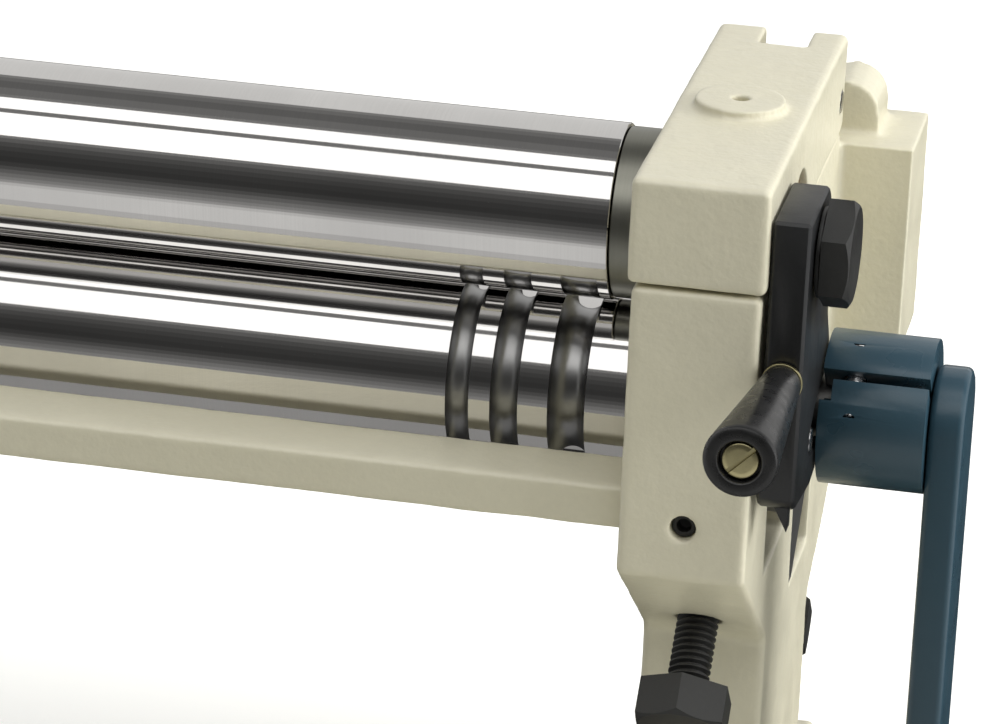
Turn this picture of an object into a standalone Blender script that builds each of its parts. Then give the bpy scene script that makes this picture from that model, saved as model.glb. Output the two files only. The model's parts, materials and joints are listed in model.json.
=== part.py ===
"""Bench slip roll: two geared pinch rolls and a rear bending roll between cast end frames.

The right cap swings open on its hinge once the hooked release lever lets go of the latch pin,
and the upper roll's right end then lifts out on the swivel block in the left frame.
X runs along the rolls to the crank end, Y to the back, Z up. The origin is on the sole of the
right foot, under the roll axes.
"""

import math

import bmesh
import bpy
from mathutils import Matrix, Vector

# Fits
SEAT_GAP = 0.0003
CAP_BORE_CLEARANCE = 0.0006
OVERRUN = 0.003
WELD_DISTANCE = 0.00002
SAME_POINT = 0.000001
FLAT_ANGLE = math.radians(0.5)

# Rolls
ROLL_RADIUS = 0.025
ROLL_FACE_LENGTH = 0.914
ROLL_OPENING = 0.0011
UPPER_AXIS_HEIGHT = 0.225
END_FLOAT = 0.0006
SWIVEL_END_FLOAT = 0.002
COLLAR_LENGTH = 0.0121
COLLAR_RADIUS = 0.0242
JOURNAL_RADIUS = 0.012
STUB_RADIUS = 0.009
BUSH_WALL = 0.003
CAP_BUSH_WALL = 0.004
BUSH_INSET = 0.0012
GROOVE_SPACES = (0.0168, 0.0359, 0.0500)
GROOVE_WIDTHS = (0.0106, 0.0080, 0.0067)
REAR_ROLL_BACK = 0.057
REAR_ROLL_DROP = 0.074
REAR_LIFT = 0.030
FRONT_DROP = 0.004
FRONT_RISE = 0.0008

# Frames, as distances from the upper roll's axis
FRAME_THICKNESS = 0.036
FRAME_FRONT = 0.060
FRAME_BACK = 0.129
FRAME_TOP = 0.0310
FRAME_BACK_STEP = 0.0918
FRAME_BACK_STEP_DROP = 0.004
FRONT_FACE_DROP = 0.0839
CORBEL_DROP = 0.123
LEG_FRONT = 0.006
LEG_BACK = 0.087
BACK_FACE_DROP = 0.1237
BACK_CORBEL_DROP = 0.148
FRAME_FILLET = 0.006
FRAME_EDGE_ROUND = 0.0012
FOOT_THICKNESS = 0.016
FOOT_FRONT = 0.045
FOOT_BACK = 0.128
FOOT_HOLE_RADIUS = 0.0055
FOOT_HOLE_INSET = 0.016
BACK_FLANGE_REACH = 0.040
BACK_FLANGE_DROP = 0.070
LUG_RADIUS = 0.010
LUG_RISE = 0.002
LUG_DEPTH = 0.022
LUG_SIDE = 0.018
LUG_BACK = 0.1013

# Cap
PARTING_RISE = 0.0008
CASTING_TOP_RISE = 0.0002
CAP_OVERHANG = 0.0010
CAP_INNER_OVERHANG = 0.0014
CAP_BACK = 0.0878
CAP_EDGE_ROUND = 0.0022
FORK_LEFT = 0.0052
FORK_RIGHT = 0.0085
FORK_FLOOR = 0.0715
HINGE_BACK = 0.0808
HINGE_RISE = 0.012
HINGE_PIN_RADIUS = 0.0035
HINGE_KNUCKLE_RADIUS = 0.008
EAR_HEEL_RADIUS = 0.0112
CAP_BOSS_RADIUS = 0.0130
CAP_BOSS_HEIGHT = 0.0026
CAP_BOSS_BACK = 0.0102
CAP_BOSS_SIDE = -0.001
OIL_HOLE_RADIUS = 0.0024
OIL_HOLE_DEPTH = 0.005

# Release lever and latch
LEVER_THICKNESS = 0.0105
LEVER_CHAMFER = 0.0009
LEVER_FRONT = 0.057
LEVER_TOP_BACK = 0.0228
LEVER_TOP_RISE = 0.022
LEVER_BOTTOM_DROP = 0.062
LEVER_CORNER = 0.0037
PIVOT_FRONT = 0.036
PIVOT_RISE = 0.0073
PIVOT_RADIUS = 0.006
PIVOT_DEPTH = 0.020
PIVOT_WASHER_THICKNESS = 0.0012
PIVOT_WASHER_RADIUS = 0.0125
PIVOT_HEAD_FLATS = 0.027
PIVOT_HEAD_HEIGHT = 0.008
LATCH_PIN_RADIUS = 0.0035
LATCH_PIN_FRONT = 0.027
LATCH_PIN_DROP = 0.0515
LATCH_PIN_DEPTH = 0.012
HOOK_SLOT_RADIUS = 0.0048
HOOK_SLOT_START = math.radians(108)
TOE_WIDTH = 0.0038
TOE_INSET = 0.0022
TOE_LENGTH = 0.0072
TOE_DEPTH = 0.006
GRIP_DROP = 0.0234
GRIP_LENGTH = 0.0585
GRIP_BASE_RADIUS = 0.0055
GRIP_END_RADIUS = 0.0102
GRIP_END_ROUND = 0.0018
GRIP_YAW = math.radians(2.0)
GRIP_WASHER_THICKNESS = 0.0012
GRIP_WASHER_RADIUS = 0.0057
GRIP_COUNTERBORE_RADIUS = 0.0058
GRIP_COUNTERBORE_DEPTH = 0.0035
GRIP_STUD_RADIUS = 0.003
GRIP_SCREW_HEAD_RADIUS = 0.005
GRIP_SCREW_HEAD_HEIGHT = 0.0022
SCREW_SLOT_WIDTH = 0.0012
SCREW_SLOT_DEPTH = 0.001

# Bearing blocks and adjusting screws
FRONT_BLOCK_HALF_WIDTH = 0.019
FRONT_BLOCK_TOP = 0.020
FRONT_BLOCK_BOTTOM = 0.026
FRONT_BEVEL = 0.016
FRONT_BEVEL_BACK = 0.0093
REAR_BLOCK_HALF_WIDTH = 0.018
REAR_BLOCK_TOP = 0.018
REAR_BLOCK_BOTTOM = 0.021
REAR_BEVEL = 0.030
REAR_BEVEL_FORWARD = 0.003
SCREW_RADIUS = 0.006
SCREW_HEAD_FLATS = 0.0248
SCREW_HEAD_HEIGHT = 0.012
FRONT_SCREW_LENGTH = 0.0612
REAR_SCREW_LENGTH = 0.089
REAR_SCREW_SIDE = 0.0015
SCREW_ANGLE = math.radians(45)

# Tie bars
TIE_WIDTH = 0.024
TIE_THICKNESS = 0.0130
TIE_DEPTH = 0.028
FRONT_TIE_FRONT = 0.0505
FRONT_TIE_DROP = 0.0688
REAR_TIE_BACK = 0.086
REAR_TIE_DROP = 0.100
GRUB_HOLE_RADIUS = 0.0036
GRUB_RADIUS = 0.0033
GRUB_LENGTH = 0.006

# Crank
SHAFT_RADIUS = 0.010
HUB_RADIUS = 0.022
HUB_START = 0.0303
HUB_LENGTH = 0.030
HUB_SLIT = 0.003
HUB_SLIT_ANGLE = math.radians(45)
HUB_NOTCH_LENGTH = 0.0032
HUB_NOTCH_WIDTH = 0.009
CLAMP_SCREW_RADIUS = 0.003
CLAMP_SCREW_PLACE = 0.0087
CLAMP_SCREW_OFFSET = 0.016
CLAMP_SCREW_REACH = 0.011
ARM_LENGTH = 0.140
ARM_WIDTH = 0.030
ARM_THICKNESS = 0.010
CRANK_GRIP_LENGTH = 0.095
CRANK_GRIP_RADIUS = 0.0135
CRANK_GRIP_WAIST_RADIUS = 0.0105
CRANK_GRIP_ROUND = 0.003
CRANK_GRIP_FLOAT = 0.0005
CRANK_GRIP_STEPS = 8
CRANK_BOLT_RADIUS = 0.005
CRANK_BOLT_HEAD_RADIUS = 0.008
CRANK_BOLT_HEAD_HEIGHT = 0.004

# Roll gears
GEAR_TEETH = 13
GEAR_WIDTH = 0.012
GEAR_STANDOFF = 0.003
GEAR_TIP_RADIUS = 0.0286
GEAR_ROOT_RADIUS = 0.0200
GEAR_TOOTH_THICKNESS = 0.0051
GEAR_PRESSURE_ANGLE = math.radians(25)
FLANK_STEPS = 3
KEY_WIDTH = 0.005
KEY_HEIGHT = 0.005
RING_THICKNESS = 0.0012
RING_RADIUS = 0.0125
STUB_OVERHANG = 0.0005

# Swivel block and gear cover
SWIVEL_OUTWARD = 0.006
SWIVEL_BLOCK_HALF_DEPTH = 0.016
SWIVEL_BLOCK_HALF_WIDTH = 0.022
SWIVEL_BLOCK_HALF_HEIGHT = 0.018
SWIVEL_TILT_ROOM = 0.0015
SWIVEL_PIN_RADIUS = 0.004
SWIVEL_PIN_SEAT = 0.004
SWIVEL_PIN_RECESS = 0.001
COVER_WALL = 0.0015
COVER_RADIUS = 0.033
COVER_END_ROOM = 0.0035
COVER_FLANGE = 0.010
COVER_SCREW_RADIUS = 0.0025
COVER_SCREW_LENGTH = 0.010
COVER_SCREW_HEAD_RADIUS = 0.0043
COVER_SCREW_HEAD_HEIGHT = 0.0025
COVER_SCREW_DROP = 0.055
COVER_SCREW_ANGLE = math.radians(28)

# Facets
ROLL_SEGMENTS = 48
ROUND_SEGMENTS = 32
SMALL_SEGMENTS = 16
ARC_STEPS = 4
GROOVE_STEPS = 6

# Derived places
FRAME_HALF = FRAME_THICKNESS / 2
LOWER_AXIS_DROP = 2 * ROLL_RADIUS + ROLL_OPENING
LOWER_AXIS_HEIGHT = UPPER_AXIS_HEIGHT - LOWER_AXIS_DROP
REAR_AXIS_HEIGHT = UPPER_AXIS_HEIGHT - REAR_ROLL_DROP
FRAME_SPAN = ROLL_FACE_LENGTH + COLLAR_LENGTH + END_FLOAT + SWIVEL_END_FLOAT
RIGHT_INNER = -FRAME_HALF
LEFT_INNER = RIGHT_INNER - FRAME_SPAN
LEFT_CENTRE = LEFT_INNER - FRAME_HALF
LEFT_OUTER = LEFT_INNER - FRAME_THICKNESS
CAP_SIDE = FRAME_HALF + CAP_OVERHANG
CAP_INNER_SIDE = -FRAME_HALF - CAP_INNER_OVERHANG
LEVER_INNER = CAP_SIDE + SEAT_GAP
LEVER_OUTER = LEVER_INNER + LEVER_THICKNESS
PARTING_HEIGHT = UPPER_AXIS_HEIGHT + PARTING_RISE
CASTING_TOP = UPPER_AXIS_HEIGHT + CASTING_TOP_RISE
BUSH_RADIUS = JOURNAL_RADIUS + SEAT_GAP + BUSH_WALL
CAP_BUSH_RADIUS = JOURNAL_RADIUS + SEAT_GAP + CAP_BUSH_WALL
BLOCK_HALF_THICKNESS = FRAME_HALF - SEAT_GAP
SWIVEL_X = LEFT_CENTRE - SWIVEL_OUTWARD
GEAR_INNER = LEFT_OUTER - GEAR_STANDOFF
GEAR_OUTER = GEAR_INNER - GEAR_WIDTH
STUB_END = GEAR_OUTER - SEAT_GAP - RING_THICKNESS - STUB_OVERHANG
COVER_END = GEAR_OUTER - COVER_END_ROOM
HUB_END = HUB_START + HUB_LENGTH
ARM_START = HUB_END + SEAT_GAP
ARM_END = ARM_START + ARM_THICKNESS


def empty_scene():
    """Remove what the scene holds, and make the two collections."""
    for item in list(bpy.data.objects):
        bpy.data.objects.remove(item)
    collections = []
    for name in ("slip_roll", "cutters"):
        collection = bpy.data.collections.new(name)
        bpy.context.scene.collection.children.link(collection)
        collections.append(collection)
    return collections


PARTS, CUTTERS = empty_scene()


def material(name, colour, roughness, metallic):
    """A Principled material."""
    made = bpy.data.materials.new(name)
    made.use_nodes = True
    shader = made.node_tree.nodes["Principled BSDF"]
    shader.inputs["Base Color"].default_value = (*colour, 1.0)
    shader.inputs["Roughness"].default_value = roughness
    shader.inputs["Metallic"].default_value = metallic
    made.diffuse_color = (*colour, 1.0)
    return made


CREAM = ((0.72, 0.69, 0.58), 0.45, 0.0)
STEEL = ((0.75, 0.75, 0.76), 0.12, 1.0)
DULL_STEEL = ((0.42, 0.42, 0.41), 0.4, 1.0)
BLACK = ((0.022, 0.023, 0.024), 0.38, 0.6)
PLASTIC = ((0.015, 0.015, 0.016), 0.22, 0.0)
BRASS = ((0.78, 0.58, 0.25), 0.25, 1.0)
BRONZE = ((0.60, 0.42, 0.20), 0.35, 1.0)
BLUE = ((0.060, 0.150, 0.240), 0.4, 0.0)
ZINC = ((0.72, 0.73, 0.75), 0.3, 1.0)
IRON = ((0.30, 0.30, 0.31), 0.5, 0.9)


def add_object(name, mesh, finish=None):
    """Link a mesh as a part with its finish, or as a cutter without one."""
    made = bpy.data.objects.new(name, mesh)
    if finish is None:
        CUTTERS.objects.link(made)
        made.hide_render = True
        made.display_type = "WIRE"
    else:
        PARTS.objects.link(made)
        made.data.materials.append(material(name + "_finish", *finish))
    return made


def mesh_from(bm, name):
    """Turn a bmesh into a mesh, smooth where its faces turn gently."""
    bmesh.ops.recalc_face_normals(bm, faces=bm.faces)
    mesh = bpy.data.meshes.new(name)
    bm.to_mesh(mesh)
    bm.free()
    mesh.shade_smooth()
    mesh.set_sharp_from_angle(angle=math.radians(30))
    return mesh


def box(name, low, high, finish=None):
    """A block between two corners."""
    low, high = Vector(low), Vector(high)
    bm = bmesh.new()
    bmesh.ops.create_cube(bm, size=1.0)
    bmesh.ops.scale(bm, vec=high - low, verts=bm.verts)
    bmesh.ops.translate(bm, vec=(low + high) / 2, verts=bm.verts)
    return add_object(name, mesh_from(bm, name), finish)


def along(start, direction):
    """The matrix that stands local +Z along a direction at a place."""
    turn = Vector(direction).normalized().to_track_quat("Z", "Y").to_matrix().to_4x4()
    return Matrix.Translation(Vector(start)) @ turn


def round_bar(name, start, direction, length, radius, finish=None, end_radius=None, segments=ROUND_SEGMENTS):
    """A cylinder or cone from a place along a direction."""
    bm = bmesh.new()
    top = radius if end_radius is None else end_radius
    bmesh.ops.create_cone(
        bm, cap_ends=True, segments=segments, radius1=radius, radius2=top, depth=length
    )
    bmesh.ops.translate(bm, vec=(0, 0, length / 2), verts=bm.verts)
    bmesh.ops.transform(bm, matrix=along(start, direction), verts=bm.verts)
    return add_object(name, mesh_from(bm, name), finish)


def hexagon(name, start, direction, length, flats, finish=None):
    """A hexagonal prism across flats, with two corners level with X."""
    corner = flats / math.sqrt(3)
    made = round_bar(name, start, direction, length, corner, finish, segments=6)
    return made


def turned(name, profile, start, direction, finish=None, segments=ROUND_SEGMENTS):
    """A turned piece: (radius, height) points from the top of its outer side to the bottom."""
    bm = bmesh.new()
    closed = profile[0] == profile[-1]
    made = [bm.verts.new((radius, 0, height)) for radius, height in profile[closed:]]
    for first, second in zip(made, made[1:] + made[:closed]):
        bm.edges.new((first, second))
    mesh = bpy.data.meshes.new(name)
    bm.to_mesh(mesh)
    bm.free()
    piece = add_object(name, mesh, finish)
    piece.matrix_world = along(start, direction)
    screw = piece.modifiers.new("turn", "SCREW")
    screw.axis = "Z"
    screw.steps = segments
    screw.render_steps = segments
    screw.use_merge_vertices = True
    screw.merge_threshold = WELD_DISTANCE
    screw.use_smooth_shade = True
    return piece


def arc(centre, radius, first, last, steps=ARC_STEPS):
    """Points on a circle from one angle to another, both included."""
    turns = [first + (last - first) * step / steps for step in range(steps + 1)]
    return [
        (centre[0] + radius * math.cos(turn), centre[1] + radius * math.sin(turn))
        for turn in turns
    ]


def filleted(points):
    """An outline whose points carry an optional third value: the radius of their fillet."""
    outline = []
    for index, point in enumerate(points):
        here = Vector(point[:2])
        if len(point) == 2:
            outline.append(tuple(here))
            continue
        back = (Vector(points[index - 1][:2]) - here).normalized()
        ahead = (Vector(points[(index + 1) % len(points)][:2]) - here).normalized()
        half = back.angle(ahead) / 2
        centre = here + (back + ahead).normalized() * (point[2] / math.sin(half))
        reach = point[2] / math.tan(half)
        first, last = here + back * reach - centre, here + ahead * reach - centre
        sweep = first.angle_signed(last)
        for step in range(ARC_STEPS + 1):
            outline.append(tuple(centre + Matrix.Rotation(-sweep * step / ARC_STEPS, 2) @ first))
    return outline


def plate(name, outline, low, high, finish=None, plane="YZ"):
    """A flat outline given depth: YZ outlines run along X, XZ outlines along Y."""
    kept = [
        point
        for index, point in enumerate(outline)
        if (Vector(point) - Vector(outline[index - 1])).length > SAME_POINT
    ]
    curve = bpy.data.curves.new(name + "_outline", "CURVE")
    curve.dimensions = "2D"
    curve.fill_mode = "BOTH"
    curve.extrude = (high - low) / 2
    spline = curve.splines.new("POLY")
    spline.points.add(len(kept) - 1)
    for target, point in zip(spline.points, kept):
        target.co = (point[0], point[1], 0, 1)
    spline.use_cyclic_u = True
    guide = bpy.data.objects.new(name + "_outline", curve)
    CUTTERS.objects.link(guide)
    middle = (low + high) / 2
    if plane == "YZ":
        columns = Matrix(((0, 0, 1, middle), (1, 0, 0, 0), (0, 1, 0, 0), (0, 0, 0, 1)))
    else:
        columns = Matrix(((1, 0, 0, 0), (0, 0, -1, middle), (0, 1, 0, 0), (0, 0, 0, 1)))
    bpy.context.view_layer.update()
    shape = guide.evaluated_get(bpy.context.evaluated_depsgraph_get())
    mesh = bpy.data.meshes.new_from_object(shape)
    bm = bmesh.new()
    bm.from_mesh(mesh)
    bmesh.ops.remove_doubles(bm, verts=bm.verts, dist=WELD_DISTANCE)
    bmesh.ops.dissolve_limit(bm, angle_limit=FLAT_ANGLE, verts=bm.verts, edges=bm.edges)
    bmesh.ops.transform(bm, matrix=columns, verts=bm.verts)
    bpy.data.objects.remove(guide)
    return add_object(name, mesh_from(bm, name), finish)


def boolean(piece, tool, operation):
    """Join a tool to a piece, cut it away or keep what they share."""
    step = piece.modifiers.new(tool.name, "BOOLEAN")
    step.operation = operation
    step.solver = "EXACT"
    step.object = tool


def cut(piece, *tools):
    """Cut tools out of a piece."""
    for tool in tools:
        boolean(piece, tool, "DIFFERENCE")


def join(piece, *tools):
    """Join tools to a piece."""
    for tool in tools:
        boolean(piece, tool, "UNION")


def soften(piece, width, segments=1):
    """Round or chamfer a piece's sharp edges."""
    bevel = piece.modifiers.new("edges", "BEVEL")
    bevel.width = width
    bevel.segments = segments
    bevel.limit_method = "ANGLE"
    bevel.angle_limit = math.radians(35)
    bevel.use_clamp_overlap = True


def pivot(name, place, pieces):
    """An empty on a joint's axis that carries the pieces turning or sliding there."""
    empty = bpy.data.objects.new(name, None)
    PARTS.objects.link(empty)
    empty.location = place
    bpy.context.view_layer.update()
    for piece in pieces:
        piece.parent = empty
        piece.matrix_parent_inverse = empty.matrix_world.inverted()
    return empty


def block_outline(axis_back, axis_height, side, half_width, top, bottom, bevel, bevel_centre):
    """A bearing block seen along X, with the 45 degree foot that its screw bears on."""
    points = [
        (-half_width, top),
        (half_width, top),
        (half_width, -bottom),
        (bevel_centre + bevel / 2, -bottom),
        (bevel_centre - bevel / 2, -bottom - bevel),
        (-half_width, -bottom - bevel),
    ]
    return [(axis_back + side * across, axis_height + up) for across, up in points]


FRONT_BLOCK = (
    0.0,
    LOWER_AXIS_HEIGHT,
    -1,
    FRONT_BLOCK_HALF_WIDTH,
    FRONT_BLOCK_TOP,
    FRONT_BLOCK_BOTTOM,
    FRONT_BEVEL,
    -FRONT_BEVEL_BACK,
)
REAR_BLOCK = (
    REAR_ROLL_BACK,
    REAR_AXIS_HEIGHT,
    1,
    REAR_BLOCK_HALF_WIDTH,
    REAR_BLOCK_TOP,
    REAR_BLOCK_BOTTOM,
    REAR_BEVEL,
    REAR_BEVEL_FORWARD,
)


def screw_line(block):
    """Where an adjusting screw touches its block, and the direction back out to its head."""
    axis_back, axis_height, side, _, _, bottom, bevel, centre = block
    touch = Vector((0.0, axis_back + side * centre, axis_height - bottom - bevel / 2))
    outward = Vector((0.0, side * math.sin(SCREW_ANGLE), -math.cos(SCREW_ANGLE)))
    return touch + outward * SEAT_GAP, outward


def window(name, block, x, rise, drop):
    """The opening in a frame where a bearing block slides up and down."""
    axis_back, axis_height, _, half_width, top, bottom, bevel, _ = block
    wide = half_width + SEAT_GAP
    return box(
        name,
        (x - FRAME_HALF - OVERRUN, axis_back - wide, axis_height - bottom - bevel - drop - SEAT_GAP),
        (x + FRAME_HALF + OVERRUN, axis_back + wide, axis_height + top + rise + SEAT_GAP),
    )


def frame_outline(top):
    """The side view of an end frame whose front part reaches up to a height."""
    z = UPPER_AXIS_HEIGHT
    return filleted(
        [
            (-FRAME_FRONT, top),
            (-FRAME_FRONT, z - FRONT_FACE_DROP),
            (-LEG_FRONT, z - CORBEL_DROP, FRAME_FILLET),
            (-LEG_FRONT, FOOT_THICKNESS, FRAME_FILLET),
            (-FOOT_FRONT, FOOT_THICKNESS),
            (-FOOT_FRONT, 0.0),
            (FOOT_BACK, 0.0),
            (FOOT_BACK, FOOT_THICKNESS),
            (LEG_BACK, FOOT_THICKNESS, FRAME_FILLET),
            (LEG_BACK, z - BACK_CORBEL_DROP, FRAME_FILLET),
            (FRAME_BACK, z - BACK_FACE_DROP),
            (FRAME_BACK, z - FRAME_BACK_STEP_DROP),
            (FRAME_BACK_STEP, z - FRAME_BACK_STEP_DROP),
            (FRAME_BACK_STEP, top),
        ]
    )


def frame_cuts(tag, x, screw_side):
    """The cutters that both frames share: block windows, screws, tie bars and bench holes."""
    inward = 1 if x > LEFT_CENTRE else -1
    made = [
        window(tag + "_front_window", FRONT_BLOCK, x, FRONT_RISE, FRONT_DROP),
        window(tag + "_rear_window", REAR_BLOCK, x, REAR_LIFT, 0.0),
    ]
    for end, block, side in (("front", FRONT_BLOCK, 0.0), ("rear", REAR_BLOCK, screw_side)):
        start, outward = screw_line(block)
        start.x = x + side
        length = FRONT_SCREW_LENGTH if end == "front" else REAR_SCREW_LENGTH
        hole = SCREW_RADIUS + SEAT_GAP
        made.append(round_bar(f"{tag}_{end}_screw_hole", start, outward, length, hole))
    inner = x - inward * FRAME_HALF
    deep = inner + inward * (TIE_DEPTH + SEAT_GAP)
    spread = sorted((inner - inward * OVERRUN, deep))
    for end, (low, high) in tie_sections().items():
        grown = Vector((0.0, SEAT_GAP, SEAT_GAP))
        made.append(
            box(
                f"{tag}_{end}_tie_socket",
                Vector((spread[0], *low)) - grown,
                Vector((spread[1], *high)) + grown,
            )
        )
    grub = (x, -FRAME_FRONT - OVERRUN, UPPER_AXIS_HEIGHT - FRONT_TIE_DROP)
    depth = FRAME_FRONT - FRONT_TIE_FRONT + 2 * OVERRUN
    made.append(
        round_bar(tag + "_grub_hole", grub, (0, 1, 0), depth, GRUB_HOLE_RADIUS, segments=SMALL_SEGMENTS)
    )
    for end, place in (("front", FOOT_HOLE_INSET - FOOT_FRONT), ("rear", FOOT_BACK - FOOT_HOLE_INSET)):
        start = (x, place, -OVERRUN)
        height = FOOT_THICKNESS + 2 * OVERRUN
        made.append(round_bar(f"{tag}_{end}_bench_hole", start, (0, 0, 1), height, FOOT_HOLE_RADIUS))
    return made


def tie_sections():
    """The low and high corners of each tie bar's section, as (Y, Z)."""
    front_height = UPPER_AXIS_HEIGHT - FRONT_TIE_DROP
    rear_height = UPPER_AXIS_HEIGHT - REAR_TIE_DROP
    return {
        "front": (
            (-FRONT_TIE_FRONT, front_height - TIE_THICKNESS / 2),
            (TIE_WIDTH - FRONT_TIE_FRONT, front_height + TIE_THICKNESS / 2),
        ),
        "rear": (
            (REAR_TIE_BACK, rear_height - TIE_WIDTH / 2),
            (REAR_TIE_BACK + TIE_THICKNESS, rear_height + TIE_WIDTH / 2),
        ),
    }


def make_right_frame():
    """The crank end's casting, with the hinge knuckle, the rear flange and its lug."""
    z = UPPER_AXIS_HEIGHT
    frame = plate("right_frame", frame_outline(CASTING_TOP), -FRAME_HALF, FRAME_HALF, CREAM)
    flange = box(
        "right_frame_flange",
        (0.0, FRAME_BACK_STEP, z - BACK_FLANGE_DROP),
        (BACK_FLANGE_REACH, FRAME_BACK, z - FRAME_BACK_STEP_DROP),
    )
    lug_outline = arc((LUG_SIDE, z + LUG_RISE), LUG_RADIUS, 0.0, math.pi, 2 * ARC_STEPS)
    lug_outline += [
        (LUG_SIDE - LUG_RADIUS, z - FRAME_BACK_STEP_DROP - OVERRUN),
        (LUG_SIDE + LUG_RADIUS, z - FRAME_BACK_STEP_DROP - OVERRUN),
    ]
    lug = plate("right_frame_lug", lug_outline, LUG_BACK, LUG_BACK + LUG_DEPTH, plane="XZ")
    hinge = (HINGE_BACK, z + HINGE_RISE)
    knuckle_outline = arc(hinge, HINGE_KNUCKLE_RADIUS, 0.0, math.pi, 2 * ARC_STEPS)
    knuckle_outline += [
        (HINGE_BACK - HINGE_KNUCKLE_RADIUS, CASTING_TOP - OVERRUN),
        (HINGE_BACK + HINGE_KNUCKLE_RADIUS, CASTING_TOP - OVERRUN),
    ]
    knuckle = plate(
        "right_frame_knuckle", knuckle_outline, SEAT_GAP - FORK_LEFT, FORK_RIGHT - SEAT_GAP
    )
    soften(frame, FRAME_EDGE_ROUND)
    join(frame, flange, lug, knuckle)
    cut(frame, *frame_cuts("right", 0.0, REAR_SCREW_SIDE))
    cut(
        frame,
        round_bar(
            "right_bore",
            (-FRAME_HALF - OVERRUN, 0.0, z),
            (1, 0, 0),
            FRAME_THICKNESS + 2 * OVERRUN,
            CAP_BUSH_RADIUS + SEAT_GAP,
        ),
        round_bar(
            "latch_hole",
            (FRAME_HALF - LATCH_PIN_DEPTH - SEAT_GAP, -LATCH_PIN_FRONT, z - LATCH_PIN_DROP),
            (1, 0, 0),
            LATCH_PIN_DEPTH + OVERRUN,
            LATCH_PIN_RADIUS + SEAT_GAP,
            segments=SMALL_SEGMENTS,
        ),
        hinge_bore("right_hinge_bore"),
    )
    return frame


def hinge_bore(name):
    """The hole for the cap's hinge pin."""
    return round_bar(
        name,
        (-FRAME_HALF - OVERRUN, HINGE_BACK, UPPER_AXIS_HEIGHT + HINGE_RISE),
        (1, 0, 0),
        FRAME_HALF + CAP_SIDE + 2 * OVERRUN,
        HINGE_PIN_RADIUS + SEAT_GAP,
        segments=SMALL_SEGMENTS,
    )


def make_left_frame():
    """The gear end's casting, closed over the swivel block."""
    z = UPPER_AXIS_HEIGHT
    low, high = LEFT_OUTER, LEFT_INNER
    frame = plate("left_frame", frame_outline(z + FRAME_TOP), low, high, CREAM)
    soften(frame, FRAME_EDGE_ROUND)
    cut(frame, *frame_cuts("left", LEFT_CENTRE, -REAR_SCREW_SIDE))
    wide = SWIVEL_BLOCK_HALF_WIDTH + SEAT_GAP
    tall = SWIVEL_BLOCK_HALF_HEIGHT + SWIVEL_TILT_ROOM
    cut(
        frame,
        box("swivel_window", (low - OVERRUN, -wide, z - tall), (high + OVERRUN, wide, z + tall)),
        round_bar(
            "swivel_pin_holes",
            (SWIVEL_X, -FRAME_FRONT - OVERRUN, z),
            (0, 1, 0),
            FRAME_FRONT + FRAME_BACK_STEP + 2 * OVERRUN,
            SWIVEL_PIN_RADIUS + SEAT_GAP,
            segments=SMALL_SEGMENTS,
        ),
    )
    for number, (back, height) in enumerate(cover_screw_places()):
        start = (low - OVERRUN, back, height)
        depth = COVER_SCREW_LENGTH + OVERRUN
        hole = COVER_SCREW_RADIUS + SEAT_GAP
        cut(
            frame,
            round_bar(f"cover_hole_{number}", start, (1, 0, 0), depth, hole, segments=SMALL_SEGMENTS),
        )
    return frame


def make_cap():
    """The cap over the upper roll's bearing, with its forked rear end and oil boss."""
    z = UPPER_AXIS_HEIGHT
    hinge = (HINGE_BACK, z + HINGE_RISE)
    heel_back = CAP_BACK - HINGE_BACK
    heel_last = -math.acos(heel_back / EAR_HEEL_RADIUS)
    outline = [
        (-FRAME_FRONT, PARTING_HEIGHT),
        (-FRAME_FRONT, z + FRAME_TOP),
        (CAP_BACK, z + FRAME_TOP),
    ]
    outline += arc(hinge, EAR_HEEL_RADIUS, heel_last, -math.pi / 2)
    outline.append((HINGE_BACK - HINGE_KNUCKLE_RADIUS, PARTING_HEIGHT))
    cap = plate("right_cap", outline, CAP_INNER_SIDE, CAP_SIDE, CREAM)
    soften(cap, CAP_EDGE_ROUND, 3)
    boss_place = (CAP_BOSS_SIDE, CAP_BOSS_BACK)
    boss = round_bar(
        "cap_boss",
        (*boss_place, z + FRAME_TOP - OVERRUN),
        (0, 0, 1),
        CAP_BOSS_HEIGHT + OVERRUN,
        CAP_BOSS_RADIUS,
    )
    join(cap, boss)
    cut(
        cap,
        round_bar(
            "oil_hole",
            (*boss_place, z + FRAME_TOP + CAP_BOSS_HEIGHT - OIL_HOLE_DEPTH),
            (0, 0, 1),
            OIL_HOLE_DEPTH + OVERRUN,
            OIL_HOLE_RADIUS,
            segments=SMALL_SEGMENTS,
        ),
        round_bar(
            "cap_bore",
            (CAP_INNER_SIDE - OVERRUN, 0.0, z),
            (1, 0, 0),
            CAP_SIDE - CAP_INNER_SIDE + 2 * OVERRUN,
            CAP_BUSH_RADIUS + CAP_BORE_CLEARANCE,
        ),
        box(
            "fork_gap",
            (-FORK_LEFT, FORK_FLOOR, PARTING_HEIGHT - OVERRUN),
            (FORK_RIGHT, CAP_BACK + OVERRUN, z + FRAME_TOP + OVERRUN),
        ),
        hinge_bore("cap_hinge_bore"),
        round_bar(
            "pivot_hole",
            (CAP_SIDE - PIVOT_DEPTH - SEAT_GAP, -PIVOT_FRONT, z + PIVOT_RISE),
            (1, 0, 0),
            PIVOT_DEPTH + OVERRUN,
            PIVOT_RADIUS + SEAT_GAP,
            segments=SMALL_SEGMENTS,
        ),
    )
    return cap


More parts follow.
